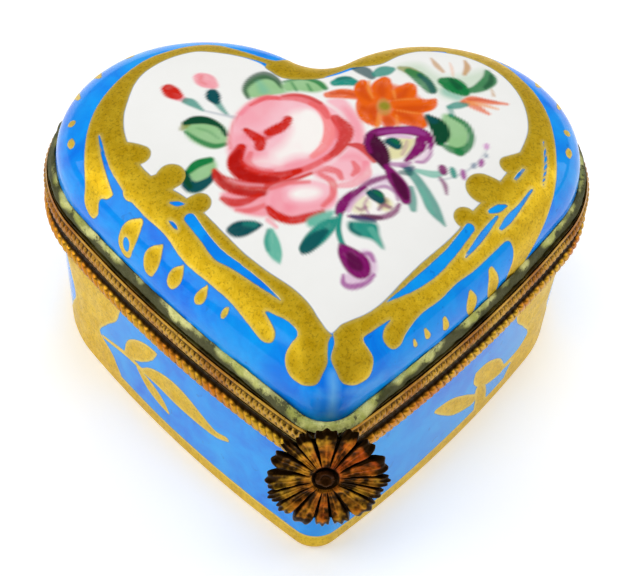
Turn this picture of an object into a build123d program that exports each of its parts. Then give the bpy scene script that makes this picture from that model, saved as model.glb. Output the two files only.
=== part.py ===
from build123d import *
from math import atan2, cos, hypot, pi, radians, sin, sqrt
import os

# A heart-shaped porcelain trinket box: a cup and a domed lid in brass bezels, a three-knuckle hinge in
# the cleft of the heart and a rosette clasp at its tip. Millimetres, +Z up, the tip points towards -Y.
# The heart is drawn about the line through the middles of its two lobes (y = 0). At the end the whole
# box is moved along Y, so that its footprint is centred on the origin, with the foot on z = 0.

# The heart's outline. "out" is a distance outwards from it, so a negative one is further in.
heart_width = 50.0
lobe_radius = 13.0
cleft_radius = 3.5
side_radius = 125.0
tip_radius = 4.35
tip_y = -30.3

# Heights above the table
parting_z = 17.5
rim_gap = 0.16            # between the two bezels when the box is shut
rim_height = 2.35
paint_z = 20.5            # lower edge of the lid's painted dome
dome_height = 7.3

# Porcelain cup
foot_out = -1.8
lip_out = -1.15
wall = 1.9
cup_floor = 2.4
foot_rounding = 0.5
foot_ring_width = 1.9
foot_recess = 0.5
cavity_rounding = 0.85
cavity_taper = 0.3

# Porcelain dome: a superellipse in section. Its contours shrink towards the crown, and there the tip,
# the cleft and the lobes have the larger radii given here.
dome_power = 2.97
dome_steps = 18
crown_y = -4.75
crown_tip_radius = 10.2
crown_cleft_radius = 10.6
crown_lobe_radius = 16.1

# Brass bezels: an outer band, and a shelf for the porcelain's lip
band_out = -0.35
band_thickness = 0.4
shelf_thickness = 0.4
collar_gap = 0.25
collar_thickness = 0.35
collar_rise = 1.1
collar_drop = 1.4

# Mouldings round the bands: bow-shaped in section
rope_height = 2.1
rope_bulge = 0.5
braid_height = 1.9
braid_bulge = 0.45
moulding_facets = 6

# Cement: fills the channel between band and lip, and climbs the lid's lip as a thin bead
channel_fill = 0.9
bead_thickness = 0.18
bead_drop = 0.1           # from the paint's edge down to the top of the bead

# Hinge
hinge_y = 12.7
tube_radius = 0.95
pin_radius = 0.5
running_clearance = 0.03
knuckle_length = 2.9
knuckle_gap = 0.12
leaf_thickness = 0.8
leaf_clearance = 0.12
pin_head_radius = 0.7
pin_head_length = 0.25

# Clasp
tongue_width = 3.0
tongue_thickness = 0.5
tongue_front_y = -31.25
tongue_bottom_z = 14.3
tongue_top_z = 19.5
tongue_pad_z = 17.8
stud_radius = 0.45
stud_z = 15.6
stud_end_y = -31.75
slot_clearance = 0.13
rosette_radius = 5.3
rosette_petals = 16
petal_radius = 1.04
rosette_web_radius = 4.35
rosette_thickness = 0.75
rosette_tilt = 16.0       # the flower looks up by this angle
rosette_back_y = -32.8
rosette_z = 17.6
rosette_cup_radius = 1.15
rosette_cup_depth = 0.4
rivet_radius = 0.5
rivet_head_height = 0.3

base_band_top = parting_z - rim_gap / 2
base_band_bottom = base_band_top - rim_height
lid_band_bottom = parting_z + rim_gap / 2
lid_band_top = lid_band_bottom + rim_height
cup_lip_z = base_band_top - shelf_thickness
lid_lip_z = lid_band_bottom + shelf_thickness
cavity_out = lip_out - wall
channel_out = band_out - band_thickness
collar_out = cavity_out - collar_gap
leaf_half_width = 1.5 * knuckle_length + knuckle_gap
high = 100.0              # longer than anything here, for cutting tools


def heart(z, out=0.0, width=heart_width, lobe=lobe_radius, cleft=cleft_radius, side=side_radius,
          tip=tip_radius, bottom_y=tip_y, scale=1.0):
    """A heart-shaped face at height z: six arcs that run into each other, scaled about crown_y."""
    lobe_x = width / 2 - lobe
    cleft_y = sqrt((lobe + cleft) ** 2 - lobe_x ** 2)
    tip_centre_y = bottom_y + tip
    # The side's arc holds the lobe's circle and the tip's circle inside it and touches both.
    to_lobe = side - lobe
    to_tip = side - tip
    apart = hypot(lobe_x, tip_centre_y)
    along = (to_lobe ** 2 - to_tip ** 2 + apart ** 2) / (2 * apart)
    across = sqrt(to_lobe ** 2 - along ** 2)
    side_x = lobe_x + (-lobe_x * along + tip_centre_y * across) / apart
    side_y = (tip_centre_y * along + lobe_x * across) / apart
    at_tip = atan2(tip_centre_y - side_y, -side_x)
    at_lobe = atan2(-side_y, lobe_x - side_x)
    at_cleft = atan2(cleft_y, -lobe_x)

    def arc(x, y, radius, start, stop, mirror=1):
        points = []
        for angle in (start, (start + stop) / 2, stop):
            point_x = mirror * (x + radius * cos(angle))
            point_y = y + radius * sin(angle)
            points.append((point_x * scale, crown_y + (point_y - crown_y) * scale, z))
        return ThreePointArc(*points)

    edges = [arc(0, tip_centre_y, tip + out, -pi - at_tip, at_tip)]
    edges += [arc(side_x, side_y, side + out, at_tip, at_lobe)]
    edges += [arc(lobe_x, 0, lobe + out, at_lobe, at_cleft)]
    edges += [arc(0, cleft_y, cleft - out, at_cleft - pi, -at_cleft)]
    edges += [arc(lobe_x, 0, lobe + out, at_cleft, at_lobe, mirror=-1)]
    edges += [arc(side_x, side_y, side + out, at_lobe, at_tip, mirror=-1)]
    return make_face(edges)


def block(out, z_low, z_high):
    """An upright heart-shaped block."""
    return extrude(heart(z_low, out), z_high - z_low)


def stack(levels):
    """A heart-shaped block through (z, out) levels, straight between them."""
    return loft([heart(z, out) for z, out in levels], ruled=True)


def box(x_low, x_high, y_low, y_high, z_low, z_high):
    corner = Box(x_high - x_low, y_high - y_low, z_high - z_low, align=(Align.MIN, Align.MIN, Align.MIN))
    return Pos(x_low, y_low, z_low) * corner


def rod_x(radius, x_low, x_high):
    """A rod on the hinge's axis."""
    rod = Cylinder(radius, x_high - x_low, rotation=(0, 90, 0), align=(Align.CENTER, Align.CENTER, Align.MIN))
    return Pos(x_low, hinge_y, parting_z) * rod


def dome(out, height, z_base):
    """The solid under a dome whose foot is the heart at this out."""
    width = heart_width + 2 * out
    lobe = lobe_radius + out
    cleft = cleft_radius - out
    tip = tip_radius + out
    contours = []
    for step in range(dome_steps):
        angle = radians(88) * step / (dome_steps - 1)
        scale = cos(angle) ** (2 / dome_power)
        rise = height * sin(angle) ** (2 / dome_power)
        inward = 1 - scale
        contours.append(heart(
            z_base + rise, 0, width,
            lobe + (crown_lobe_radius - lobe) * inward,
            cleft + (crown_cleft_radius - cleft) * inward,
            side_radius + out,
            tip + (crown_tip_radius - tip) * inward,
            tip_y - out, scale))
    return loft(contours, ruled=True)


def make_base_cup():
    outside = stack([
        (0, foot_out - foot_rounding),
        (foot_rounding * 0.3, foot_out - foot_rounding * 0.3),
        (foot_rounding, foot_out),
        (cup_lip_z, lip_out)])
    cavity = stack([
        (cup_floor, cavity_out - cavity_taper - cavity_rounding),
        (cup_floor + cavity_rounding * 0.3, cavity_out - cavity_taper - cavity_rounding * 0.3),
        (cup_floor + cavity_rounding, cavity_out - cavity_taper),
        (cup_lip_z + 1, cavity_out)])
    recess = block(foot_out - foot_ring_width, -1, foot_recess)
    return outside - cavity - recess


def make_lid_shell():
    skirt = block(lip_out, lid_lip_z, paint_z)
    hollow = block(cavity_out, lid_lip_z - 1, paint_z)
    outer_dome = dome(lip_out, dome_height, paint_z)
    inner_dome = dome(cavity_out, dome_height - wall, paint_z)
    return (skirt + outer_dome) - (hollow + inner_dome)


def make_base_rim():
    rim = block(band_out, base_band_bottom, base_band_top)
    rim -= block(channel_out, base_band_bottom - 1, cup_lip_z)
    return rim - block(collar_out, base_band_bottom, high)


def make_lid_rim():
    rim = block(band_out, lid_band_bottom, lid_band_top)
    rim -= block(channel_out, lid_lip_z, lid_band_top + 1)
    return rim - block(cavity_out, lid_band_bottom - 1, high)


def make_inner_collar():
    outside = block(collar_out, base_band_top - collar_drop, parting_z + collar_rise)
    return outside - block(collar_out - collar_thickness, 0, high)


def make_base_cement(cup):
    filling = block(channel_out, base_band_bottom, cup_lip_z) - block(cavity_out, 0, high)
    return filling - cup


def make_lid_cement():
    filling = block(channel_out, lid_lip_z, lid_lip_z + channel_fill)
    bead = block(lip_out + bead_thickness, lid_lip_z + channel_fill, paint_z - bead_drop)
    return filling + bead - block(lip_out, 0, high)


def moulding(z_middle, height, bulge):
    """A bow-shaped strip round the outside of a band, parted where the hinge's leaves are."""
    levels = []
    for step in range(moulding_facets + 1):
        angle = radians(150) * (step / moulding_facets - 0.5)
        levels.append((z_middle + height / 2 * sin(angle) / sin(radians(75)), band_out + bulge * cos(angle)))
    ring = stack(levels) - block(band_out, 0, high)
    return ring - box(-leaf_half_width, leaf_half_width, 0, high, 0, high)


def make_base_rope(stud):
    return moulding((base_band_bottom + base_band_top) / 2, rope_height, rope_bulge) - stud


def make_lid_braid():
    braid = moulding((lid_band_bottom + lid_band_top) / 2, braid_height, braid_bulge)
    return braid - box(-tongue_width / 2, tongue_width / 2, -high, 0, 0, high)


def make_leaf(z_low, z_high, own_knuckles, other_knuckles):
    """A hinge leaf: from the band in the cleft to its own knuckles, and clear of the other ones."""
    leaf = box(-leaf_half_width, leaf_half_width, 0, hinge_y, z_low, z_high) - block(band_out, 0, high)
    for x_low, x_high in own_knuckles:
        leaf -= rod_x(tube_radius, x_low, x_high)
    for x_low, x_high in other_knuckles:
        leaf -= rod_x(tube_radius + leaf_clearance, x_low - knuckle_gap, x_high + knuckle_gap)
    return leaf


def make_tube(x_low, x_high, bore_radius):
    return rod_x(tube_radius, x_low, x_high) - rod_x(bore_radius, x_low - 1, x_high + 1)


def make_hinge_pin():
    pin = rod_x(pin_radius, -leaf_half_width, leaf_half_width)
    pin += rod_x(pin_head_radius, leaf_half_width, leaf_half_width + pin_head_length)
    return pin + rod_x(pin_head_radius, -leaf_half_width - pin_head_length, -leaf_half_width)


def make_catch_stud():
    length = tip_y + tip_radius - stud_end_y
    stud = Cylinder(stud_radius, length, rotation=(90, 0, 0), align=(Align.CENTER, Align.CENTER, Align.MAX))
    stud = fillet(stud.edges().sort_by(Axis.Y)[0], stud_radius * 0.6)
    return Pos(0, stud_end_y, stud_z) * stud - block(band_out, 0, high)


def make_clasp_tongue():
    back_y = tongue_front_y + tongue_thickness
    half = tongue_width / 2
    strip = box(-half, half, tongue_front_y, back_y, tongue_bottom_z, tongue_top_z)
    pad = box(-half, half, back_y, tip_y + tip_radius, tongue_pad_z, tongue_top_z) - block(band_out, 0, high)
    slot_radius = stud_radius + slot_clearance
    slot = box(-slot_radius, slot_radius, -high, 0, 0, stud_z)
    slot += Pos(0, tongue_front_y, stud_z) * Cylinder(slot_radius, tongue_width, rotation=(90, 0, 0))
    return strip + pad - slot


def rosette_plane():
    tilt = radians(rosette_tilt)
    return Plane((0, rosette_back_y, rosette_z), x_dir=(1, 0, 0), z_dir=(0, -cos(tilt), sin(tilt)))


def make_clasp_rosette():
    flower = Circle(rosette_web_radius)
    flower += PolarLocations(rosette_radius - petal_radius, rosette_petals) * Circle(petal_radius)
    rosette = extrude(flower, rosette_thickness)
    rosette -= Pos(0, 0, rosette_thickness) * Cylinder(rosette_cup_radius, 2 * rosette_cup_depth)
    return rosette_plane() * (rosette - Cylinder(rivet_radius, high))


def make_rosette_rivet():
    """A post that is soldered to the tongue and peened over in the flower's cup."""
    cup_z = rosette_thickness - rosette_cup_depth
    head = Pos(0, 0, cup_z) * Cylinder(rosette_cup_radius * 0.8, rivet_head_height,
                                       align=(Align.CENTER, Align.CENTER, Align.MIN))
    head = fillet(head.edges().sort_by(Axis.Z)[-1], rivet_head_height * 0.7)
    shank = Pos(0, 0, cup_z) * Cylinder(rivet_radius, 4, align=(Align.CENTER, Align.CENTER, Align.MAX))
    half = tongue_width
    return rosette_plane() * (head + shank) - box(-half, half, tongue_front_y, 0, 0, high)


def make_parts():
    left = (-leaf_half_width, -leaf_half_width + knuckle_length)
    middle = (-knuckle_length / 2, knuckle_length / 2)
    right = (leaf_half_width - knuckle_length, leaf_half_width)
    cup = make_base_cup()
    stud = make_catch_stud()
    return {
        "base_cup": cup,
        "base_cement": make_base_cement(cup),
        "base_rim": make_base_rim(),
        "base_rope": make_base_rope(stud),
        "inner_collar": make_inner_collar(),
        "hinge_base_leaf": make_leaf(base_band_top - leaf_thickness, base_band_top, [left, right], [middle]),
        "hinge_tube_left": make_tube(*left, pin_radius),
        "hinge_tube_right": make_tube(*right, pin_radius),
        "hinge_pin": make_hinge_pin(),
        "catch_stud": stud,
        "lid_shell": make_lid_shell(),
        "lid_cement": make_lid_cement(),
        "lid_rim": make_lid_rim(),
        "lid_braid": make_lid_braid(),
        "hinge_lid_leaf": make_leaf(lid_band_bottom, lid_band_bottom + leaf_thickness, [middle], [left, right]),
        "hinge_tube_middle": make_tube(*middle, pin_radius + running_clearance),
        "clasp_tongue": make_clasp_tongue(),
        "clasp_rosette": make_clasp_rosette(),
        "rosette_rivet": make_rosette_rivet(),
    }


def write_parts():
    os.makedirs("parts", exist_ok=True)
    parts = make_parts()
    boxes = [part.bounding_box() for part in parts.values()]
    front_y = min(bounds.min.Y for bounds in boxes)
    back_y = max(bounds.max.Y for bounds in boxes)
    centring_y = -(front_y + back_y) / 2
    for name, part in parts.items():
        export_step(Pos(0, centring_y, 0) * part, f"parts/{name}.step")
    print("moved by", centring_y, "so the hinge is at y", hinge_y + centring_y, "z", parting_z)


write_parts()
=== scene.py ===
from math import atan2, cos, hypot, pi, radians, sin, sqrt

import bpy
import numpy as np
from mathutils import Matrix, Vector


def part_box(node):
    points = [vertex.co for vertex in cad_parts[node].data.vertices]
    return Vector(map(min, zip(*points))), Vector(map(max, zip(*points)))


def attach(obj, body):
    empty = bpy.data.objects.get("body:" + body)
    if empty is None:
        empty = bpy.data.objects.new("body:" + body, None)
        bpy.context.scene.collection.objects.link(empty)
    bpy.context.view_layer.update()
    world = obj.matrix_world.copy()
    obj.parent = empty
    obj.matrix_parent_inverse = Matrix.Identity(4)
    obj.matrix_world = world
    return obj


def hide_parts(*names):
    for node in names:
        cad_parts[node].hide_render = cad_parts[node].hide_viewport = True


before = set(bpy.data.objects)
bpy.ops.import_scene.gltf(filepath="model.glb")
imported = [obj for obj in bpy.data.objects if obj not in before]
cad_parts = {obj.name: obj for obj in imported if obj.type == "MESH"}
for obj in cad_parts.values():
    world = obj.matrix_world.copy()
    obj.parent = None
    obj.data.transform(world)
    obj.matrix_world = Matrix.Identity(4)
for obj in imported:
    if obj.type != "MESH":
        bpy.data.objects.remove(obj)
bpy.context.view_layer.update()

# Looks for the heart-shaped porcelain trinket box. Shapes are worked out in millimetres in the heart's own
# frame, whose y = 0 line passes through the middles of the two lobes, and are moved into the CAD frame at
# the end of each mesh.

MM = 0.001
FAR = 50.0               # a distance in paint coordinates that means "not near"
NOWHERE = 200.0          # a paint coordinate out of reach of every stroke

# The heart's outline, as in the CAD model. "out" is a distance outwards from it.
heart_width = 50.0
lobe_radius = 13.0
cleft_radius = 3.5
side_radius = 125.0
tip_radius = 4.35
tip_y = -30.3
rope_front_out = 0.15    # how far the rope's front stands outside the outline
lobe_line_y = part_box("base_rope")[0].y / MM - tip_y + rope_front_out

# Porcelain
lip_out = -1.15
foot_out = -1.8
wall = 1.9
paint_z = 20.5
dome_height = 7.3
dome_power = 2.97
crown_y = -4.75
crown_tip_radius = 10.2
crown_cleft_radius = 10.6
crown_lobe_radius = 16.1
cavity_out = lip_out - wall
lid_lip_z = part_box("lid_shell")[0].z / MM
cup_lip_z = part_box("base_cup")[1].z / MM
cup_floor_z = 2.4
foot_rounding = 0.5
foot_ring_width = 1.9
foot_recess = 0.5
cavity_rounding = 0.85
cavity_taper = 0.3

# Brass work
band_out = -0.35
leaf_half_width = 4.47
tongue_half_width = 1.5
rope_pitch = 0.84
rope_height = 2.1
rope_bulge = 0.5
braid_pitch = 0.62
braid_height = 1.9
braid_bulge = 0.45
moulding_rows = 19
moulding_depth = 0.06    # how far a moulding's back lies inside the band
bead_steps = 560         # points along half of the cement bead

# Paint coordinates: lengths along the glaze, measured out from the crown
paint_reference = 20.0   # how far from the crown's middle an outline lies where these lengths are true
knot_steps = 7           # points between two knots of a stroke
hair_width = 0.24
pool_width = 0.22        # the band along a stroke's edge where the enamel pools
foot_line_top = 2.05
half_outline = 330       # points along half of the outline in the porcelain's meshes
crown_rings = 84         # rings of points in the dome's flatter middle
shoulder_rings = 34
shoulder_start = 0.78    # where they meet, as a part of the paint reference
wall_rings = 74
wall_length = 139.55     # once round the cup's wall at mid height
distance_limit = 5.0     # distances stored in the meshes go no further


# ---------------------------------------------------------------- the heart

def heart(out=0.0, width=heart_width, lobe=lobe_radius, cleft=cleft_radius, side=side_radius,
          tip=tip_radius, bottom_y=tip_y, half_count=half_outline):
    """Points and outward normals evenly along the outline: from the tip by the right lobe to the cleft,
    then back down the left side."""
    lobe_x = width / 2 - lobe
    cleft_y = sqrt((lobe + cleft) ** 2 - lobe_x ** 2)
    tip_centre_y = bottom_y + tip
    to_lobe = side - lobe
    to_tip = side - tip
    apart = hypot(lobe_x, tip_centre_y)
    along = (to_lobe ** 2 - to_tip ** 2 + apart ** 2) / (2 * apart)
    across = sqrt(to_lobe ** 2 - along ** 2)
    side_x = lobe_x + (-lobe_x * along + tip_centre_y * across) / apart
    side_y = (tip_centre_y * along + lobe_x * across) / apart
    at_tip = atan2(tip_centre_y - side_y, -side_x)
    at_lobe = atan2(-side_y, lobe_x - side_x)
    at_cleft = atan2(cleft_y, -lobe_x)
    arcs = np.array([
        (0, tip_centre_y, tip + out, -pi / 2, at_tip, 1),
        (side_x, side_y, side + out, at_tip, at_lobe, 1),
        (lobe_x, 0, lobe + out, at_lobe, at_cleft, 1),
        (0, cleft_y, cleft - out, at_cleft - pi, -pi / 2, -1)])
    centre_x, centre_y, radius, start, stop, facing = arcs.T
    lengths = radius * np.abs(stop - start)
    ends = np.concatenate([[0], np.cumsum(lengths)])
    travel = np.linspace(0, ends[-1], half_count + 1)
    which = np.minimum(np.searchsorted(ends, travel, side="right") - 1, 3)
    angle = start[which] + (stop - start)[which] * (travel - ends[which]) / lengths[which]
    ray = np.stack([np.cos(angle), np.sin(angle)], axis=1)
    points = np.stack([centre_x[which], centre_y[which]], axis=1) + ray * radius[which, None]
    normals = ray * facing[which, None]
    return [np.concatenate([half[:-1], half[:0:-1] * [-1, 1]]) for half in (points, normals)]


def dome_contour(scale, out):
    """The dome's contour whose size is this part of its foot's."""
    inward = 1 - scale
    width = heart_width + 2 * out
    lobe = lobe_radius + out
    cleft = cleft_radius - out
    tip = tip_radius + out
    points = heart(
        0, width,
        lobe + (crown_lobe_radius - lobe) * inward,
        cleft + (crown_cleft_radius - cleft) * inward,
        side_radius + out,
        tip + (crown_tip_radius - tip) * inward,
        tip_y - out)[0]
    return shrink(points, scale)


def shrink(points, scale):
    centre = np.array([0, crown_y])
    return centre + (points - centre) * scale


def dome_rise(scale, height):
    return height * (1 - scale ** dome_power) ** (1 / dome_power)


def meridian():
    """Scales from crown to foot, and the length along the glaze to each, over the paint reference."""
    scales = np.sin(np.linspace(0, pi / 2, 4001))
    steps = np.hypot(np.diff(scales), np.diff(dome_rise(scales, dome_height)) / paint_reference)
    return scales, np.concatenate([[0], np.cumsum(steps)])


# ---------------------------------------------------------------- meshes

def at_height(points, z):
    return np.column_stack([points, np.full(len(points), z)])


def new_mesh_object(name, points, faces, crease=50):
    """A smooth mesh from points in millimetres, facing outwards, in the CAD frame."""
    placed = (np.asarray(points, float) + [0, lobe_line_y, 0]) * MM
    mesh = bpy.data.meshes.new(name)
    mesh.from_pydata(placed.tolist(), [], faces)
    if signed_volume(mesh) < 0:
        mesh.flip_normals()
    mesh.shade_smooth()
    mesh.set_sharp_from_angle(angle=radians(crease))
    mesh.validate()
    piece = bpy.data.objects.new(name, mesh)
    bpy.context.scene.collection.objects.link(piece)
    return piece


def signed_volume(mesh):
    mesh.calc_loop_triangles()
    corners = np.empty(len(mesh.loop_triangles) * 3, np.int32)
    mesh.loop_triangles.foreach_get("vertices", corners)
    points = np.empty(len(mesh.vertices) * 3)
    mesh.vertices.foreach_get("co", points)
    a, b, c = points.reshape(-1, 3)[corners.reshape(-1, 3)].transpose(1, 0, 2)
    return np.einsum("ij,ij->i", a, np.cross(b, c)).sum() / 6


def skin(rings):
    """Points and faces of a closed skin through rings of equal length, with a cap point at each end."""
    count = len(rings[0])
    points = np.concatenate(list(rings) + [rings[0].mean(0)[None], rings[-1].mean(0)[None]])
    first_cap = len(points) - 2
    last_cap = len(points) - 1
    faces = []
    for ring in range(len(rings) - 1):
        low = ring * count
        high = low + count
        for i in range(count):
            j = (i + 1) % count
            faces.append((low + i, low + j, high + j, high + i))
    top = (len(rings) - 1) * count
    for i in range(count):
        j = (i + 1) % count
        faces.append((first_cap, j, i))
        faces.append((last_cap, top + i, top + j))
    return points, faces


def bar(sections, closed):
    """Points and faces of a bar through cross-sections of equal length: a ring if closed, else capped."""
    count = len(sections[0])
    points = np.concatenate(sections)
    total = len(sections)
    faces = []
    for step in range(total if closed else total - 1):
        low = step * count
        high = (step + 1) % total * count
        for i in range(count):
            j = (i + 1) % count
            faces.append((low + i, low + j, high + j, high + i))
    if not closed:
        faces.append(tuple(range(count))[::-1])
        faces.append(tuple((total - 1) * count + i for i in range(count)))
    return points, faces


def add_values(piece, name, values):
    attribute = piece.data.attributes.new(name, "FLOAT", "POINT")
    attribute.data.foreach_set("value", np.ascontiguousarray(values, np.float32))


def add_colours(piece, name, colours):
    attribute = piece.data.attributes.new(name, "FLOAT_COLOR", "POINT")
    attribute.data.foreach_set("color", np.ascontiguousarray(colours, np.float32).ravel())


def lattice(x, y, seed):
    """Smooth random hills of unit size, from -1 to 1."""
    table = np.random.default_rng(seed).uniform(-1, 1, (64, 64))
    column = np.floor(x).astype(int)
    row = np.floor(y).astype(int)
    across = x - column
    up = y - row
    across = across * across * (3 - 2 * across)
    up = up * up * (3 - 2 * up)
    low = table[column % 64, row % 64] * (1 - across) + table[(column + 1) % 64, row % 64] * across
    row = row + 1
    high = table[column % 64, row % 64] * (1 - across) + table[(column + 1) % 64, row % 64] * across
    return low * (1 - up) + high * up


def ripple(x, y, size, seed):
    """Hills of this size with smaller ones on them, from about -1 to 1."""
    x, y = np.broadcast_arrays(x, y)
    small = lattice(x / size * 2.3, y / size * 2.3, seed + 100)
    return (lattice(x / size, y / size, seed) + 0.5 * small) / 1.2


# ---------------------------------------------------------------- the painter

def linear(value):
    value = value / 255
    return value / 12.92 if value <= 0.04045 else ((value + 0.055) / 1.055) ** 2.4


def colour(red, green, blue):
    """A linear colour from the usual 0 to 255 values."""
    return np.array([linear(red), linear(green), linear(blue)])


def smooth_path(knots, closed=False):
    """A smooth curve through knots, which may carry a width as their third value."""
    knots = np.array(knots, float)
    if closed:
        padded = np.concatenate([knots[-1:], knots, knots[:2]])
    else:
        padded = np.concatenate([2 * knots[:1] - knots[1:2], knots, 2 * knots[-1:] - knots[-2:-1]])
    before, start, stop, after = padded[:-3], padded[1:-2], padded[2:-1], padded[3:]
    pieces = []
    for t in np.arange(knot_steps) / knot_steps:
        pieces.append(0.5 * (2 * start + (stop - before) * t
                             + (2 * before - 5 * start + 4 * stop - after) * t ** 2
                             + (3 * start - before - 3 * stop + after) * t ** 3))
    path = np.stack(pieces, axis=1).reshape(-1, knots.shape[1])
    if not closed:
        path = np.concatenate([path, knots[-1:]])
    return path


def ribbon_distance(x, y, path):
    """Distance to a brush stroke's edge, negative inside, with each point's travel along the stroke and
    its offset to the side. The path's third value is its width."""
    best = np.full(len(x), FAR)
    along = np.zeros(len(x))
    aside = np.zeros(len(x))
    travelled = 0
    for (ax, ay, aw), (bx, by, bw) in zip(path[:-1], path[1:]):
        dx = bx - ax
        dy = by - ay
        length = hypot(dx, dy) + 1e-9
        t = np.clip(((x - ax) * dx + (y - ay) * dy) / length ** 2, 0, 1)
        away = np.hypot(x - ax - t * dx, y - ay - t * dy) - (aw + (bw - aw) * t) / 2
        nearer = away < best
        best[nearer] = away[nearer]
        along[nearer] = travelled + t[nearer] * length
        aside[nearer] = ((x - ax) * dy - (y - ay) * dx)[nearer] / length
        travelled += length
    return best, along, aside


def area_distance(x, y, path):
    """Distance to a closed outline, negative inside."""
    best = np.full(len(x), FAR)
    inside = np.zeros(len(x), bool)
    for (ax, ay), (bx, by) in zip(path, np.roll(path, -1, axis=0)):
        dx = bx - ax
        dy = by - ay
        t = np.clip(((x - ax) * dx + (y - ay) * dy) / (dx * dx + dy * dy + 1e-9), 0, 1)
        np.minimum(best, np.hypot(x - ax - t * dx, y - ay - t * dy), out=best)
        crosses = (ay > y) != (by > y)
        slope = dx / dy if dy else 0
        inside ^= crosses & (x < ax + (y - ay) * slope)
    return np.where(inside, -best, best)


def oval(x, y, width, height, turn=0):
    """Knots round an oval touch of the brush, turned by this many degrees."""
    lean = radians(turn)
    knots = []
    for step in range(8):
        angle = 2 * pi * step / 8
        along = width / 2 * cos(angle)
        up = height / 2 * sin(angle)
        knots.append((x + along * cos(lean) - up * sin(lean), y + along * sin(lean) + up * cos(lean)))
    return knots


class Canvas:
    """Enamel colours, gilding and the white reserve at points given in paint coordinates."""

    def __init__(self, x, y):
        self.x = x
        self.y = y
        self.enamel = np.zeros((len(x), 3))     # already weighted by its cover
        self.cover = np.zeros(len(x))
        self.gilt = np.full(len(x), FAR)
        self.reserve = np.full(len(x), FAR)
        self.cloud = ripple(x, y, 1.3, seed=12)

    def near(self, path, margin=1.5):
        reach = margin + (path[:, 2].max() / 2 if path.shape[1] == 3 else 0)
        low = path[:, :2].min(0) - reach
        high = path[:, :2].max(0) + reach
        in_x = (self.x > low[0]) & (self.x < high[0])
        in_y = (self.y > low[1]) & (self.y < high[1])
        return np.flatnonzero(in_x & in_y)

    def lay(self, where, tone, cover):
        cover = np.clip(cover, 0, 1)
        self.enamel[where] = tone * cover[:, None] + self.enamel[where] * (1 - cover[:, None])
        self.cover[where] = cover + self.cover[where] * (1 - cover)

    def brush(self, tone, knots, strength=1.0, soft=0.26, streaks=0.12):
        """A stroke through (x, y, width) knots, with the streaks that the brush's hairs leave."""
        path = smooth_path(knots)
        where = self.near(path)
        distance, along, aside = ribbon_distance(self.x[where], self.y[where], path)
        hairs = ripple(along * 0.45, aside + path[0, 0], hair_width, seed=61)
        pooled = np.exp(-(distance / pool_width) ** 2) * 0.25
        highlight_blue = streaks * max(tone) * np.clip(0.3 + 0.9 * hairs + 0.6 * self.cloud[where] - pooled, 0, 1.6)
        self.lay(where, tone, np.clip(0.5 - distance / soft, 0, 1) * strength * (1 - highlight_blue))

    def wash(self, tone, knots, strength=1.0, soft=0.45, streaks=0.12):
        """A filled shape with a smooth outline."""
        path = smooth_path(knots, closed=True)
        where = self.near(path)
        distance = area_distance(self.x[where], self.y[where], path)
        highlight_blue = streaks * max(tone) * np.clip(0.4 + 0.9 * self.cloud[where], 0, 1)
        self.lay(where, tone, np.clip(0.5 - distance / soft, 0, 1) * strength * (1 - highlight_blue))

    def from_area(self, knots):
        """Points near an outline and their distance to it."""
        path = smooth_path(knots, closed=True)
        where = self.near(path, 3)
        return where, area_distance(self.x[where], self.y[where], path)

    def from_stroke(self, knots):
        """Points near a stroke and their distance to its edge."""
        path = smooth_path(knots)
        where = self.near(path, 3)
        return where, ribbon_distance(self.x[where], self.y[where], path)[0]

    def gild_area(self, knots):
        where, distance = self.from_area(knots)
        self.gilt[where] = np.minimum(self.gilt[where], distance)

    def gild(self, *strokes):
        for knots in strokes:
            where, distance = self.from_stroke(knots)
            self.gilt[where] = np.minimum(self.gilt[where], distance)

    def scrape(self, *strokes):
        """Strokes where the ground shows through the gilding."""
        for knots in strokes:
            where, distance = self.from_stroke(knots)
            self.gilt[where] = np.maximum(self.gilt[where], -distance)

    def leave_white(self, knots):
        where, distance = self.from_area(knots)
        self.reserve[where] = distance
        self.gilt[where] = np.maximum(self.gilt[where], -distance)

    def give(self, piece):
        add_colours(piece, "enamel", np.column_stack([self.enamel, self.cover]))
        for name, distance in (("gilt", self.gilt), ("reserve", self.reserve)):
            add_values(piece, name, np.clip(distance, -distance_limit, distance_limit))


PALE_PINK = colour(250, 188, 200)
PINK = colour(246, 134, 152)
SALMON = colour(250, 136, 138)
ROSE = colour(232, 82, 84)
RED = colour(208, 30, 12)
CRIMSON = colour(178, 10, 4)
BLOOM_WHITE = colour(252, 248, 244)
ORANGE = colour(236, 98, 0)
BURNT_ORANGE = colour(206, 62, 0)
PALE_ORANGE = colour(244, 150, 64)
TAN = colour(200, 144, 70)
OLIVE = colour(140, 140, 30)
PALE_GREEN = colour(150, 198, 140)
GREEN = colour(8, 124, 62)
DARK_GREEN = colour(0, 72, 44)
TEAL = colour(34, 146, 130)
PALE_TEAL = colour(104, 186, 164)
DARK_TEAL = colour(0, 78, 84)
NAVY = colour(22, 38, 96)
CREAM = colour(226, 220, 156)
LILAC = colour(216, 162, 208)
MAUVE = colour(162, 66, 152)
PURPLE = colour(130, 14, 104)
PLUM = colour(72, 2, 50)
BROWN = colour(116, 40, 34)
GREY = colour(140, 154, 172)


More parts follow.
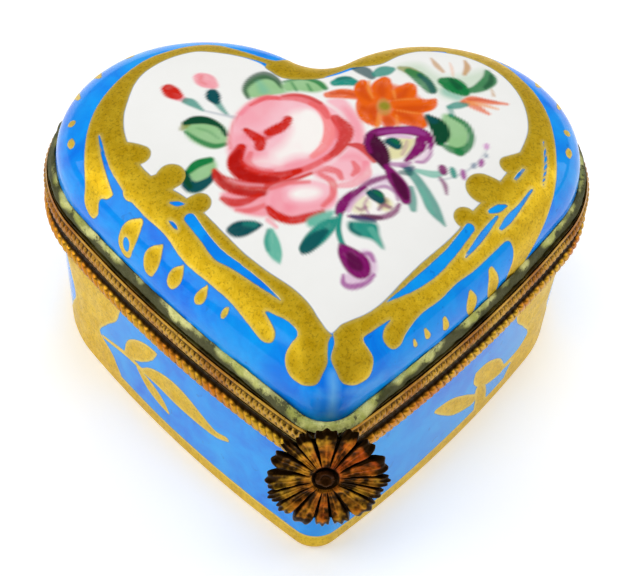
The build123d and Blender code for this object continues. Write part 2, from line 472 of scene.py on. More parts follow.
def gild_lid_left(canvas):
    """The left scroll: an outer branch, a main band down to the tip, and a full round end."""
    canvas.gild_area([
        (-10, 9), (-13.8, 8.4), (-15.9, 7.4), (-17.7, 5.6), (-19.2, 3.5), (-20.5, 0.9), (-21.2, -2),
        (-21.45, -4.8), (-21.7, -6.9), (-22.6, -8.1), (-22.3, -9.3), (-21, -9.6), (-20.2, -8.7),
        (-19.3, -9), (-18.6, -8.7), (-18.9, -7.2), (-17.9, -8.4), (-16.9, -10), (-15.3, -12.1),
        (-13.8, -13.9), (-12.2, -16.6), (-10, -19), (-8.2, -21), (-6.7, -23.2), (-5.6, -24.8),
        (-4.7, -25.1), (-4.4, -24.3), (-4.8, -23.3), (-5.2, -22.3), (-4.2, -22.9), (-3.2, -23.6),
        (-2.5, -24.7), (-3.1, -25.5), (-3.6, -26.5), (-3.5, -27.8), (-2.9, -28.8), (-2, -29.4),
        (-1, -29.3), (-0.5, -28.4), (-0.1, -27.4), (0, -25.5), (1, -22), (-4, -14), (-8, -8), (-12, 0),
        (-11, 5)])


def gild_lid_right(canvas):
    canvas.gild_area([
        (12, 11.3), (15.5, 10.4), (17.6, 8.3), (18.8, 6.4), (19.9, 4.5), (20.9, 1.4), (21.25, -2.2),
        (21.3, -6.1), (21.1, -9.5), (20.9, -13), (20.5, -15.5), (19.5, -16.2), (18.5, -15.6),
        (17.9, -14.1), (17.1, -13.2), (16.3, -13.1), (15.1, -14.4), (13.2, -16.6), (11.4, -18.3),
        (9.9, -20.1), (8.1, -21.8), (6.9, -23.6), (6.4, -24.9), (5.6, -25.4), (4.8, -24.9), (4.7, -24),
        (5.3, -22.9), (4.4, -23.6), (3.6, -24.3), (2.9, -25), (3.4, -25.8), (3.9, -26.6), (3.8, -28),
        (3.2, -28.8), (2.2, -29.3), (1.2, -29.1), (0.6, -28), (0.2, -26.9), (0.5, -25.4), (0, -22),
        (5, -16), (10, -8), (13, 0), (12, 7)])


def gild_lid_back(canvas):
    """The band under the cleft and the lines that run out from it behind the reserve."""
    canvas.gild_area([
        (-4.9, 5.6), (-4.8, 3.9), (-3, 3.4), (-0.5, 3.5), (0.6, 4.2), (2, 5), (3.4, 5.8), (5, 6.2),
        (6.5, 7.4), (7.6, 10.6), (4, 9.8), (2, 8.8), (0, 8.3), (-1.7, 7.8), (-3.4, 6.6)])
    canvas.gild(
        [(-14.3, 7.7, 1.1), (-12, 8.3, 1.6), (-10, 8.3, 1.7), (-8.2, 7.7, 1.1), (-5.2, 6.2, 0.7),
         (-3.6, 5.4, 1.4)],
        [(2.6, 6.6, 2.4), (4.8, 7.5, 3.4), (7.6, 9.1, 3.4), (10.5, 10.1, 2.6), (14, 9.7, 2.4),
         (16.9, 7.5, 2.2)])
    for touch in [
            [(22.2, 9.7, 0.5), (21.5, 8, 1.1), (20.6, 6.2, 0.4)],
            [(25.1, 8.6, 0.5), (23.9, 6.2, 1), (22.6, 3.8, 0.4)],
            [(18.4, 10.4, 0.7), (18, 9.3, 1)], [(23.2, 0.5, 0.7), (22.9, 0.3, 0.7)],
            [(23.1, -1.9, 0.8), (22.9, -2.3, 0.8)], [(28, 8, 0.6), (27.6, 6.8, 0.7)],
            [(14, 14.6, 0.6), (13.6, 12.8, 1.1)], [(9, 14.8, 0.5), (8.8, 13.2, 1)]]:
        canvas.gild([(-x, y, width) for x, y, width in touch], touch)


def scrape_slits(canvas):
    """Blue slits between the strands of the scrolls."""
    canvas.scrape(
        [(-19.9, -2.5, 0.22), (-19.5, -4.7, 0.38), (-19, -6.6, 0.5), (-18.2, -8.7, 0.9)],
        [(-11.6, -12.7, 1), (-10.3, -14.8, 0.85), (-9.1, -16.6, 1), (-7.6, -17.9, 0.75),
         (-5.7, -19.7, 0.55), (-3.9, -21.5, 0.1)],
        [(-13.3, -10.9, 0.2), (-12.7, -11.1, 0.5), (-12.1, -11.2, 0.2)],
        [(-13.4, -12.6, 0.15), (-13, -13.1, 0.35), (-12.7, -13.6, 0.15)])
    canvas.scrape(
        [(12.5, -13, 0.9), (10.8, -15.6, 0.95), (9.1, -17.7, 1.1), (7.5, -19.3, 0.9), (6.2, -20.4, 0.5),
         (4.9, -21.4, 0.1)],
        [(20, -2.2, 0.2), (20.05, -4.6, 0.34), (19.8, -6.8, 0.2)],
        [(18.6, -7.7, 0.25), (17.5, -9.5, 0.4), (16.3, -11.2, 0.7), (15.5, -12.3, 0.35)],
        [(15.1, -11.3, 0.3), (14.1, -12.8, 0.55), (13, -14.5, 0.5), (12.1, -15.8, 0.2)],
        [(16, -10, 0.25), (15.2, -10.5, 0.7), (14.4, -11, 0.4)],
        [(17.8, -5.9, 0.25), (17.3, -6.6, 0.35), (16.9, -7.2, 0.25)])


def gild_bumps(canvas):
    """Round gold bumps that stand into the white reserve."""
    canvas.gild(
        [(-18.2, -4.6, 2), (-16.9, -5.3, 2.4), (-16.1, -5.5, 2)],
        [(-16.6, -9, 2.1), (-15.1, -9, 2.1), (-13.9, -8.7, 2.2), (-13.3, -8.2, 2.6)],
        [(-12.9, -11.8, 1.2), (-11.9, -11.6, 1.6), (-10.8, -11.3, 2.1)],
        [(18.6, -4.6, 1.8), (17.4, -5.4, 2), (16.4, -5.8, 1.8)],
        [(16.1, -9.2, 1.2), (15, -9, 2.6), (13.8, -8.8, 3.1)],
        [(13.6, -12.9, 1.2), (12.9, -12.5, 2), (12.1, -12.1, 2.1)])


def gild_drops(canvas):
    """A row of drops that shrinks towards the tip, on each side."""
    canvas.gild(
        [(-18.5, -13.2, 2.1), (-17.4, -12.6, 2.1), (-16.3, -12.1, 0.9)],
        [(-16.1, -15.9, 1.6), (-15.4, -15.4, 1.9), (-14.2, -14.7, 0.3)],
        [(-13.8, -17.9, 1.2), (-13.2, -17.6, 1.5), (-12.4, -17, 0.3)],
        [(-11.3, -20.1, 0.8), (-10.9, -19.9, 1.1), (-10.2, -19.2, 0.2)],
        [(-9, -22, 0.5), (-8.7, -21.7, 0.6), (-8.4, -21.4, 0.15)],
        [(17.2, -17.6, 1.3), (16.4, -17, 1.8), (15.2, -16.1, 0.8)],
        [(14.5, -19.9, 1.1), (14, -19.4, 1.6), (13.2, -18.6, 0.5)],
        [(11.4, -22.2, 0.9), (10.8, -21.6, 0.5)],
        [(9.3, -23.5, 0.7), (8.8, -23, 0.3)],
        [(8.1, -24.6, 0.5), (7.8, -24.2, 0.3)])
    canvas.scrape([(-18.4, -13.3, 0.9), (-18.2, -13.1, 0.9)])


def leave_reserve(canvas):
    """The white panel for the bouquet."""
    canvas.leave_white([
        (-11.7, 7.8), (-14, 6.9), (-15.9, 5.3), (-16.9, 3.5), (-17.4, 1.4), (-17.7, -0.7), (-17.5, -3),
        (-16.7, -5.3), (-15.7, -7.1), (-14.2, -8.8), (-12.4, -10.2), (-11, -11.7), (-10, -12.85),
        (-8.65, -14.6), (-6.9, -16.8), (-4.9, -18.8), (-2.95, -20.5), (-1.6, -22.1), (-0.7, -23.7),
        (0.2, -24.8), (1.1, -24), (2, -23.5), (3.3, -22.7), (4.7, -21.4), (6.6, -19), (8.3, -17),
        (9.9, -15.3), (11.4, -13.5), (12.9, -11.2), (14.6, -9), (15.7, -7.4), (17, -5.2), (18.1, -2.75),
        (18.6, -0.7), (18.5, 1.9), (17.8, 4.3), (16.5, 6.4), (14.7, 7.8), (12.6, 8.6), (9.5, 8.6),
        (7.4, 7.6), (5.4, 5.9), (3.5, 5.4), (1.3, 4.3), (-0.8, 3.6), (-3.3, 3.5), (-4.7, 4.6),
        (-5.6, 5.7), (-7.5, 6.8), (-9.9, 7.6)])


def paint_tip_highlights(brush, wash):
    """Pale blue streaks near the tip: painted highlights on the blue ground."""
    highlight_blue = colour(120, 200, 255)
    brush(highlight_blue, [(0.4, -28.4, 0.5), (0.5, -30.5, 0.8), (0.4, -33, 0.6)], 0.8, 0.9, 0.3)
    brush(highlight_blue, [(-0.7, -30, 0.4), (-0.9, -32, 0.5)], 0.35, 0.8, 0.3)
    brush(highlight_blue, [(1.8, -30, 0.5), (3.6, -29.6, 0.6), (5.4, -27.8, 0.4)], 0.35, 0.8, 0.5)


def paint_left_buds(brush, wash):
    brush(PINK, [(-13, 1.3, 1.1), (-12.3, 0.7, 0.6)], 0.8)
    brush(RED, [(-13.8, 2.4, 1.2), (-13.4, 1.8, 1.5), (-12.9, 1.3, 1)])
    brush(PINK, [(-10.9, 3.7, 1.3), (-10.4, 3.2, 1.8), (-9.7, 2.5, 0.9)], 0.8)
    brush(ROSE, [(-10.8, 3.9, 0.4), (-10.9, 3.2, 0.4), (-10.4, 2.7, 0.3)], 0.4)
    brush(TEAL, [(-12.1, 0.6, 0.8), (-11.6, 0.3, 0.9), (-10.6, -0.7, 0.25)], 0.85)
    brush(TEAL, [(-9.4, 0.3, 0.7), (-8.9, -0.6, 0.5), (-8.5, -1.2, 0.3)], 0.8)
    brush(DARK_TEAL, [(-9.8, 1.5, 1.1), (-9.7, 1, 1.3), (-9.4, 0.3, 0.6)])
    brush(GREY, [(-10.4, -0.8, 0.25), (-8.6, -1.4, 0.3), (-7.2, -1.8, 0.6), (-6.8, -1.7, 0.4)], 0.5)


def paint_left_leaves(brush, wash):
    wash(PALE_GREEN, [(-12.3, -2.3), (-11.3, -1.8), (-9.9, -1.9), (-8.8, -2.7), (-8.3, -3.9), (-8.5, -5),
        (-9.6, -5.4), (-10.9, -4.9), (-11.9, -3.9)])
    brush(OLIVE, [(-12.4, -2.9, 0.5), (-12.1, -2.4, 0.8)], 0.7)
    brush(DARK_GREEN, [(-12.1, -2.2, 0.6), (-11.3, -1.9, 1), (-10.2, -2, 0.9), (-9.1, -2.7, 0.5),
        (-8.5, -3.8, 0.4)])
    brush(GREEN, [(-12.1, -3.3, 0.3), (-10.9, -4.4, 0.5), (-9.6, -5.1, 0.6), (-8.5, -4.9, 0.4)], 0.85)
    brush(GREEN, [(-11, -2.9, 0.2), (-10, -3.4, 0.3), (-9.2, -4.2, 0.2)], 0.35)
    wash(PALE_GREEN, [(-11.9, -8), (-11.3, -7), (-10.3, -6.5), (-9.6, -6.6), (-9.3, -7.6), (-9.8, -9),
        (-10.6, -10), (-11.6, -10.1), (-12, -9.3)])
    brush(GREEN, [(-11.8, -7.9, 0.6), (-11, -7.1, 0.9), (-9.9, -6.7, 0.7)])
    brush(DARK_TEAL, [(-11.9, -8.3, 0.5), (-11.8, -9.2, 1.1), (-11, -9.6, 1.2), (-9.9, -8.9, 0.7),
        (-9.6, -8.2, 0.3)])
    brush(DARK_GREEN, [(-12, -8, 0.4), (-11.9, -8.8, 0.6), (-11.6, -9.5, 0.5)])


def paint_rose(brush, wash):
    wash(PALE_PINK, [(-8.3, -3.6), (-7.7, -1.5), (-6.5, 0.1), (-5, 0.9), (-3.2, 1.4), (-1.3, 1.1),
        (0.2, 0.2), (1.6, -1.1), (2.3, -3), (1.9, -5), (0.9, -6.7), (-0.8, -8), (-3.2, -9.4), (-5.5, -10),
        (-7.6, -9), (-8.3, -6.2)])
    wash(PINK, [(-7.6, -1.4), (-6.2, 0.3), (-4.6, 1), (-3.9, 0.2), (-4.6, -1.2), (-5.8, -2.6),
        (-7.4, -2.9)], 0.4, 1.1)
    wash(PINK, [(-8.1, -4.3), (-6.8, -3.6), (-5.8, -5), (-5.2, -6.4), (-6.2, -7.8), (-8, -6.4)], 0.55, 1.1)
    wash(PINK, [(0.7, -1.2), (1.4, -3.2), (0.8, -5.4), (-0.6, -7), (-2.6, -8.1), (-5, -8.2), (-4.2, -7.4),
        (-2, -6.7), (-0.4, -5.7), (0.4, -4), (0.5, -2.2)], 0.6, 0.6)
    wash(BLOOM_WHITE, [(-2.7, -1), (-1.4, -0.6), (-0.4, -1.2), (0.2, -2.5), (0.2, -4), (-0.4, -5.3),
        (-1.4, -6.1), (-2.6, -6.3), (-3.9, -7), (-4.5, -6.1), (-3.5, -4.8), (-2.9, -3.2), (-3, -1.9)],
        0.97, 1.1)
    wash(BLOOM_WHITE, [(-1.6, -0.7), (-0.7, -0.9), (-0.05, -2.2), (0, -3.8), (-0.6, -5.2), (-1.6, -5.8),
        (-2.2, -4), (-2.1, -2)], 0.97, 0.5)
    brush(SALMON, [(-1, 0.2, 0.6), (-0.1, -0.6, 0.9), (0.5, -2, 1.1), (0.5, -3.6, 1.1), (0, -5.1, 0.9),
        (-1, -6.3, 0.6)], 0.9)
    brush(BLOOM_WHITE, [(-6.4, -7.1, 0.4), (-5.2, -6.9, 0.9), (-4, -7.2, 0.6)], 0.5, 0.9)
    brush(ROSE, [(-7.1, -0.9, 0.15), (-7.9, -2.4, 0.2), (-8.2, -4.2, 0.25), (-8.1, -5.4, 0.3)], 0.45)
    brush(PINK, [(-7.3, -1.2, 0.5), (-6.3, 0.1, 0.7), (-5, 0.85, 0.7), (-3.9, 0.8, 0.5)], 0.85)
    brush(ROSE, [(-6.4, -0.1, 0.3), (-5.2, 0.75, 0.55), (-4.2, 0.85, 0.5)], 0.8)
    brush(ROSE, [(-3.9, 0.8, 0.5), (-2.5, 1, 1), (-1.1, 0.55, 1.1), (-0.1, -0.3, 0.9), (0.4, -1.5, 0.5)],
        0.75)
    brush(RED, [(-3.5, 1.1, 0.3), (-2.4, 1.3, 0.4), (-1.2, 1, 0.45), (-0.2, 0.3, 0.4)], 0.7)
    brush(RED, [(1.1, -1.6, 0.9), (1.9, -2.9, 1.4), (1.8, -4.2, 1.2), (1.1, -5.6, 0.9), (0.1, -6.6, 0.5)],
        0.92)
    brush(ROSE, [(0.9, -1.4, 0.3), (1.2, -2.6, 0.4), (1.2, -4, 0.4)], 0.6)
    brush(ROSE, [(0.3, -6.4, 0.6), (-1, -7.4, 0.7), (-2.4, -8.2, 0.7)], 0.85)
    brush(PINK, [(-6.6, -3.8, 0.9), (-5, -3.8, 1.1), (-3.6, -2.5, 0.8)], 0.6, 0.6)
    brush(RED, [(-3.1, -1.8, 0.8), (-3.4, -2.5, 0.95), (-4.1, -3.1, 1.15), (-4.8, -3.5, 0.9)])
    brush(RED, [(-6.8, -3.2, 0.55), (-6.2, -3.8, 0.85), (-5.6, -4.5, 1.1), (-5.6, -5.3, 0.9)])
    brush(RED, [(-5.9, -4.1, 0.5), (-5.1, -4.2, 0.5), (-4.4, -3.7, 0.4)], 0.6)
    brush(RED, [(-7.2, -5.3, 0.9), (-7.7, -6.9, 1.5), (-7.1, -8.1, 1.8), (-5.5, -8.8, 1.6),
        (-3.8, -8.7, 1.2), (-2.2, -8, 0.6)])
    brush(CRIMSON, [(-7.4, -5.8, 0.6), (-7.8, -7, 1), (-7.2, -8.3, 1.1), (-5.7, -9, 0.9), (-4.2, -9, 0.6)],
        0.85)
    brush(ROSE, [(-6.4, -6, 0.5), (-6.6, -7, 0.7), (-6, -7.8, 0.7), (-4.6, -8.1, 0.5)], 0.6)


def paint_lower_petals(brush, wash):
    wash(PINK, [(-8.9, -10.4), (-6, -10.4), (-4.4, -11.2), (-4.7, -13), (-6.2, -13), (-7.9, -12.2)], 0.85)
    brush(RED, [(-9.5, -7.9, 0.5), (-8.9, -9, 1.2), (-7.6, -9.8, 1.7), (-5.8, -10.2, 1.6), (-4, -9.8, 1),
        (-2.5, -9, 0.5), (-1.2, -8.3, 0.3)], 0.95)
    brush(CRIMSON, [(-9.3, -8.2, 0.3), (-8.6, -9.5, 0.6), (-7, -10.4, 0.7), (-5.2, -10.6, 0.5)], 0.7)
    brush(PALE_PINK, [(-8.2, -9, 0.2), (-7, -9.5, 0.35), (-5.4, -9.7, 0.3)], 0.5)
    brush(RED, [(-8.8, -11, 0.5), (-7.9, -11.5, 0.9), (-6.8, -11.4, 0.8), (-5.7, -10.8, 0.5)], 0.9)
    brush(ROSE, [(-7.6, -12.3, 0.3), (-6.4, -12.4, 0.6), (-5.2, -11.9, 0.5)], 0.7)
    wash(PALE_PINK, [(-4.8, -10.2), (-3, -9.3), (-0.8, -9.1), (0.7, -9.9), (1, -11.4), (0, -12.6),
        (-1.6, -13.4), (-3.5, -13.7), (-4.9, -12.8)])
    wash(PINK, [(-4.8, -10.6), (-3.6, -9.8), (-3.4, -11.2), (-2.6, -12.2), (-3.4, -13.1), (-4.8, -12.4)],
        0.6, 0.8)
    wash(PINK, [(-3.4, -11.9), (-1.4, -11.8), (0.4, -11), (0.4, -12), (-1.2, -13), (-3, -13.2)], 0.5, 0.7)
    wash(BLOOM_WHITE, oval(-1.7, -10.6, 2.6, 1.4, 8), soft=0.8)
    brush(ROSE, [(-4.6, -10.1, 0.4), (-3.2, -9.5, 0.5), (-1.4, -9.3, 0.4)], 0.7)
    brush(RED, [(-4.9, -12.2, 0.5), (-4.3, -13, 0.9), (-3, -13.6, 0.9), (-1.6, -13.3, 0.9),
        (-0.3, -12.7, 0.5)])
    brush(ROSE, [(-0.4, -8.4, 0.5), (0.6, -9.3, 0.7), (0.6, -10.8, 0.6), (-0.2, -12, 0.5)], 0.75)
    brush(PINK, [(-4.9, -13.5, 0.5), (-4.2, -14.3, 0.3)], 0.7)


def paint_right_petals(brush, wash):
    wash(PALE_PINK, [(0.4, 0.6), (1.8, 0.9), (2.7, -0.3), (3.4, -2.2), (3.8, -4.2), (4.2, -5.8),
        (3.8, -7.4), (2.4, -9), (0.2, -9.2), (-1, -8.3), (1, -6.7), (2.1, -4.8), (2.4, -2.8), (1.7, -1)])
    brush(PINK, [(2, -0.4, 0.6), (2.8, -2.2, 1.1), (3.1, -4.2, 0.8)], 0.55, 0.8)
    brush(PINK, [(1.4, -6.4, 0.6), (2.6, -6.2, 0.9), (3.4, -6.8, 0.8)], 0.5, 0.7)
    brush(RED, [(2.2, -4.8, 0.35), (3.1, -5, 0.8), (3.9, -5.8, 0.85), (4.3, -6.7, 0.5)], 0.88)
    brush(ROSE, [(2.5, -6.9, 0.4), (2.8, -7.7, 0.7), (2.4, -8.4, 0.4)], 0.75)
    brush(ROSE, [(-1.9, -8.6, 0.4), (-0.4, -7.8, 0.8), (1, -8, 0.7), (1.4, -8.8, 0.5)], 0.75)
    brush(PINK, [(3.6, -7, 0.7), (3.5, -8.4, 1), (2.4, -9.4, 0.8), (1.2, -9.7, 0.6)], 0.7)


def paint_back_leaves(brush, wash):
    wash(PALE_GREEN, [(-6.8, 1), (-7, 2.2), (-6.3, 3.4), (-5.2, 4), (-4.1, 3.4), (-3.4, 2.2), (-3.3, 1.5),
        (-4.5, 1.1), (-5.6, 0.8)])
    brush(DARK_GREEN, [(-6.6, 0.8, 0.35), (-6.9, 2, 0.5), (-6.3, 3.2, 0.9), (-5.2, 3.9, 1.1),
        (-4.2, 3.4, 0.7), (-3.6, 2.3, 0.4)], 0.8)
    brush(PALE_TEAL, [(-5.6, 2.9, 0.5), (-5.2, 1.8, 0.9)], 0.5, 0.6)
    wash(PALE_GREEN, [(-3.6, 2.6), (-2.7, 3.4), (-1.2, 3.6), (0.1, 3.2), (0.4, 2.3), (-0.6, 1.7),
        (-2.2, 1.8), (-3.2, 1.7)])
    brush(GREEN, [(-3.5, 3, 0.25), (-1.8, 3.6, 0.4), (-0.5, 3.3, 0.6), (0.3, 2.3, 0.5)], 0.85)
    brush(GREEN, [(-2.7, 2.9, 0.25), (-2.3, 1.9, 0.3)], 0.6)
    brush(GREEN, [(-1.3, 2.8, 0.25), (-1, 2, 0.35)], 0.6)


def paint_teal_leaves(brush, wash):
    wash(PALE_GREEN, [(7, 5.6), (9, 6.3), (10.6, 4.8), (12, 4.8), (13.4, 5.4), (15.2, 6.4), (15.4, 4),
        (13.6, 2.6), (11.8, 1.4), (10.4, 2.2), (9.4, 4.2), (8, 4.4)], 0.4, 1.2)
    brush(TEAL, [(1.2, 3.1, 0.9), (2.1, 3.4, 1.4), (3.2, 3, 0.7)])
    brush(DARK_TEAL, [(1.5, 3.7, 0.4), (2.5, 3.8, 0.4)], 0.5)
    brush(DARK_TEAL, [(3, 5.2, 0.5), (3.8, 4.9, 1.3), (4.5, 4, 0.8)], 0.85)
    brush(TEAL, [(5, 4.4, 0.9), (5.7, 4.9, 1.4), (6.4, 5.2, 0.7)], 0.9)
    brush(OLIVE, [(7.2, 5.4, 0.6), (8, 5.1, 1.1), (8.8, 4.5, 1)], 0.75)
    brush(GREEN, [(8, 5, 0.9), (9, 4, 1.5), (9.8, 2.6, 1.2)], 0.88)
    brush(DARK_TEAL, [(8.9, 4.5, 0.5), (9.7, 3.4, 0.7), (10, 2.3, 0.6)], 0.75)
    brush(PALE_TEAL, [(11.4, 2.4, 1.4), (12.2, 1.8, 1)], 0.6, 0.6)
    brush(GREEN, [(11.1, 3.8, 1.2), (12, 3.4, 2.1), (12.8, 2.6, 1.2)])
    brush(GREEN, [(15.4, 6.2, 0.6), (15.5, 5, 1.4), (14.8, 3.9, 1.3), (13.9, 3.1, 0.9), (13, 2.8, 0.6)],
        0.92)
    brush(DARK_GREEN, [(15.7, 5.6, 0.4), (15.5, 4.5, 0.6), (14.9, 3.6, 0.4)], 0.7)
    brush(DARK_GREEN, [(11.8, 4.1, 0.5), (12.4, 3.2, 0.8)], 0.7)


def paint_sprays(brush, wash):
    brush(TAN, [(10.2, 7.3, 0.2), (10.6, 6.2, 0.6), (11.1, 5.3, 0.4)], 0.7)
    brush(TAN, [(13.4, 7.5, 0.3), (13.5, 6.4, 0.65), (13.1, 5.2, 0.4)], 0.8)
    brush(PALE_ORANGE, [(11.9, 6.8, 0.15), (12, 5.8, 0.3), (12, 4.8, 0.2)], 0.4)
    brush(ORANGE, [(12.6, 1.2, 0.5), (13.6, 1.7, 0.9), (15.2, 1.6, 0.6), (16.8, 1.7, 0.3)], 0.85)
    brush(ORANGE, [(12.8, 1.1, 0.5), (13.8, 0.7, 0.8), (14.9, 0, 0.35)], 0.8)
    brush(PALE_ORANGE, [(13.2, 1.2, 0.6), (14.4, 1.1, 0.5), (15.8, 0.8, 0.25)], 0.7)
    brush(BURNT_ORANGE, [(13.2, 1.6, 0.25), (14.4, 1.8, 0.3), (15.8, 1.8, 0.2)], 0.6)
    brush(TAN, [(15.5, 3.4, 0.2), (15.6, 2.6, 0.35)], 0.6)


def paint_orange_flower(brush, wash):
    brush(ORANGE, [(0.5, 1.4, 0.8), (1.8, 1.6, 1.3), (3.2, 1.4, 1.2)], 0.95)
    brush(BURNT_ORANGE, [(0.8, 1.6, 0.4), (2, 1.7, 0.5), (3.2, 1.3, 0.4)], 0.6)
    wash(ORANGE, [(3.2, 1.6), (4.8, 3), (6.6, 3), (8.3, 2), (9, 0.6), (8.6, -1.2), (7, -2.2), (5, -1.9),
        (3.6, -0.8)], 0.9, 0.5)
    for petal in [
            [(3.9, 1, 1.5), (3.6, 2.2, 1.5), (3.7, 3.1, 0.9)],
            [(4.4, 1.2, 1.4), (3.9, 0.2, 1.9), (4, -1.2, 1.7), (4.6, -2.1, 0.9)],
            [(5.5, 1.3, 1.3), (5.4, 2.5, 1.9), (5.7, 3.5, 1.1)],
            [(6.4, 1.4, 1.2), (7.4, 1.9, 2), (7.9, 2.7, 1.3)],
            [(6.5, 0.3, 1.2), (8, 0.3, 2), (9.4, 0.5, 1.5), (10.1, 1.2, 0.4)],
            [(6.6, -0.9, 1.2), (7.8, -1.2, 2.2), (8.5, -1.9, 1.5)]]:
        brush(ORANGE, petal)
    brush(ORANGE, [(5.6, -1.1, 0.9), (5.8, -2.1, 1.2)], 0.9)
    for start, bend, stop in [
            ((3.6, 2.6), (3.7, 1.6), (4.2, 0.8)), ((3.5, -0.2), (4.1, -0.5), (4.7, 0)),
            ((5.4, 3), (5.3, 2), (5.4, 1.2)), ((7.6, 2.4), (7, 1.5), (6.3, 1)),
            ((9.2, 0.2), (8, -0.1), (6.7, 0)), ((8, -1.8), (7.4, -1.1), (6.5, -0.6)),
            ((5.8, -2.4), (5.7, -1.8), (5.6, -1.2)), ((4.5, -1.6), (4.6, -0.9), (4.9, -0.4))]:
        brush(BURNT_ORANGE, [(*start, 0.5), (*bend, 0.9), (*stop, 0.3)], 0.6, 0.5)
    for knots in [
            [(4.25, 3.3, 0.3), (4.2, 2.2, 0.35), (4.5, 1.1, 0.2)], [(6.4, 2.1, 0.3), (6.5, 1.2, 0.2)],
            [(6.4, 0.9, 0.12), (7.6, 1.1, 0.2), (8.6, 1.2, 0.15)], [(6.5, -1.1, 0.2), (6.6, -2.5, 0.35)],
            [(5, -0.9, 0.4), (4.9, -2, 0.5), (4.6, -2.8, 0.3)],
            [(6.6, -0.4, 0.1), (7.8, -0.6, 0.2), (8.8, -0.7, 0.1)]]:
        brush(PALE_ORANGE, knots, 0.75)
    wash(TAN, oval(5.45, 0, 1.3, 2.2), 0.9, 0.4)
    wash(OLIVE, oval(5.5, 0.1, 0.9, 1), 0.9, 0.3)


def paint_right_leaf(brush, wash):
    wash(PALE_GREEN, [(10.7, -0.6), (12.2, -1.2), (12.9, -2.8), (12.5, -4.4), (11.2, -4.9), (10.5, -3.2)])
    brush(DARK_GREEN, [(9.4, -1.2, 0.8), (10.1, -2, 1.6), (10.4, -3.1, 1.6), (10.2, -4.1, 0.9)])
    brush(DARK_TEAL, [(9.3, -0.9, 0.5), (9.8, -1.5, 0.8)], 0.8)
    brush(GREEN, [(11.4, -0.7, 0.5), (12.7, -1.7, 0.6), (13.1, -3.1, 0.6), (12.7, -4.4, 0.7),
        (11.9, -5.1, 1)], 0.9)
    brush(GREEN, [(10.4, -4.4, 0.4), (11.2, -4.9, 0.8), (12, -5.1, 0.7)], 0.85)
    brush(TEAL, [(11.3, 0.4, 0.5), (12.1, 0.7, 0.9), (12.9, 0.9, 0.5)], 0.85)
    brush(TEAL, [(11.4, 0.2, 0.6), (11.5, -0.6, 0.5)], 0.6)


def paint_upper_pansy(brush, wash):
    wash(BLOOM_WHITE, [(5, -3.2), (7, -2.8), (9, -3.2), (9.4, -4.8), (9, -6.4), (8, -6.9), (6.4, -7),
        (5, -6.2), (4.6, -4.6)], 0.9)
    wash(LILAC, [(8.6, -4.2), (9.5, -4.4), (9.2, -6), (8.3, -6.7), (7.8, -6.2), (8.6, -5.4)], 0.4)
    wash(CREAM, [(6.5, -3.9), (8, -3.9), (7.7, -5), (6.9, -6.1), (5.7, -6.4), (5.6, -5.2)], 0.9)
    brush(PURPLE, [(3.7, -4.6, 0.5), (4.2, -3.6, 1), (5.2, -3.1, 1.1), (6.6, -2.9, 1), (8, -2.9, 1.2),
        (9, -3.4, 1.1), (9.4, -4.3, 0.6), (9.3, -4.9, 0.3)])
    brush(MAUVE, [(4.9, -3.2, 0.3), (6.4, -3, 0.5), (7.8, -2.8, 0.8), (8.8, -3.2, 0.5)], 0.6)
    brush(LILAC, [(5.6, -3.7, 0.4), (6.6, -3.6, 0.5), (7.6, -3.7, 0.4)], 0.7)
    brush(MAUVE, [(7.3, -4.2, 0.25), (7.1, -5, 0.35), (6.8, -5.8, 0.25)], 0.45)
    brush(MAUVE, [(9.35, -4.4, 0.25), (9.3, -5.6, 0.3), (8.7, -6.5, 0.4), (8, -6.6, 0.3)], 0.7)
    brush(PURPLE, [(8.5, -3.9, 0.9), (8.4, -4.8, 1.1), (7.7, -5.8, 0.8), (7.1, -6.5, 0.4)])
    brush(PLUM, [(4.2, -3.8, 0.9), (4.5, -5, 1.9), (5, -6.2, 1.5), (5.25, -7.3, 0.7)])
    brush(PURPLE, [(4.1, -3.6, 0.5), (3.8, -4.5, 0.4), (4, -5.6, 0.4)], 0.8)
    brush(DARK_TEAL, [(5.6, -4.3, 0.7), (6.1, -4.4, 1.2), (6.4, -4.8, 0.9)])
    brush(GREEN, [(6, -4.1, 0.3), (6.4, -4.4, 0.5)], 0.6)
    brush(MAUVE, [(5.8, -7, 0.5), (6.8, -7, 0.6), (7.5, -6.7, 0.3)], 0.7)


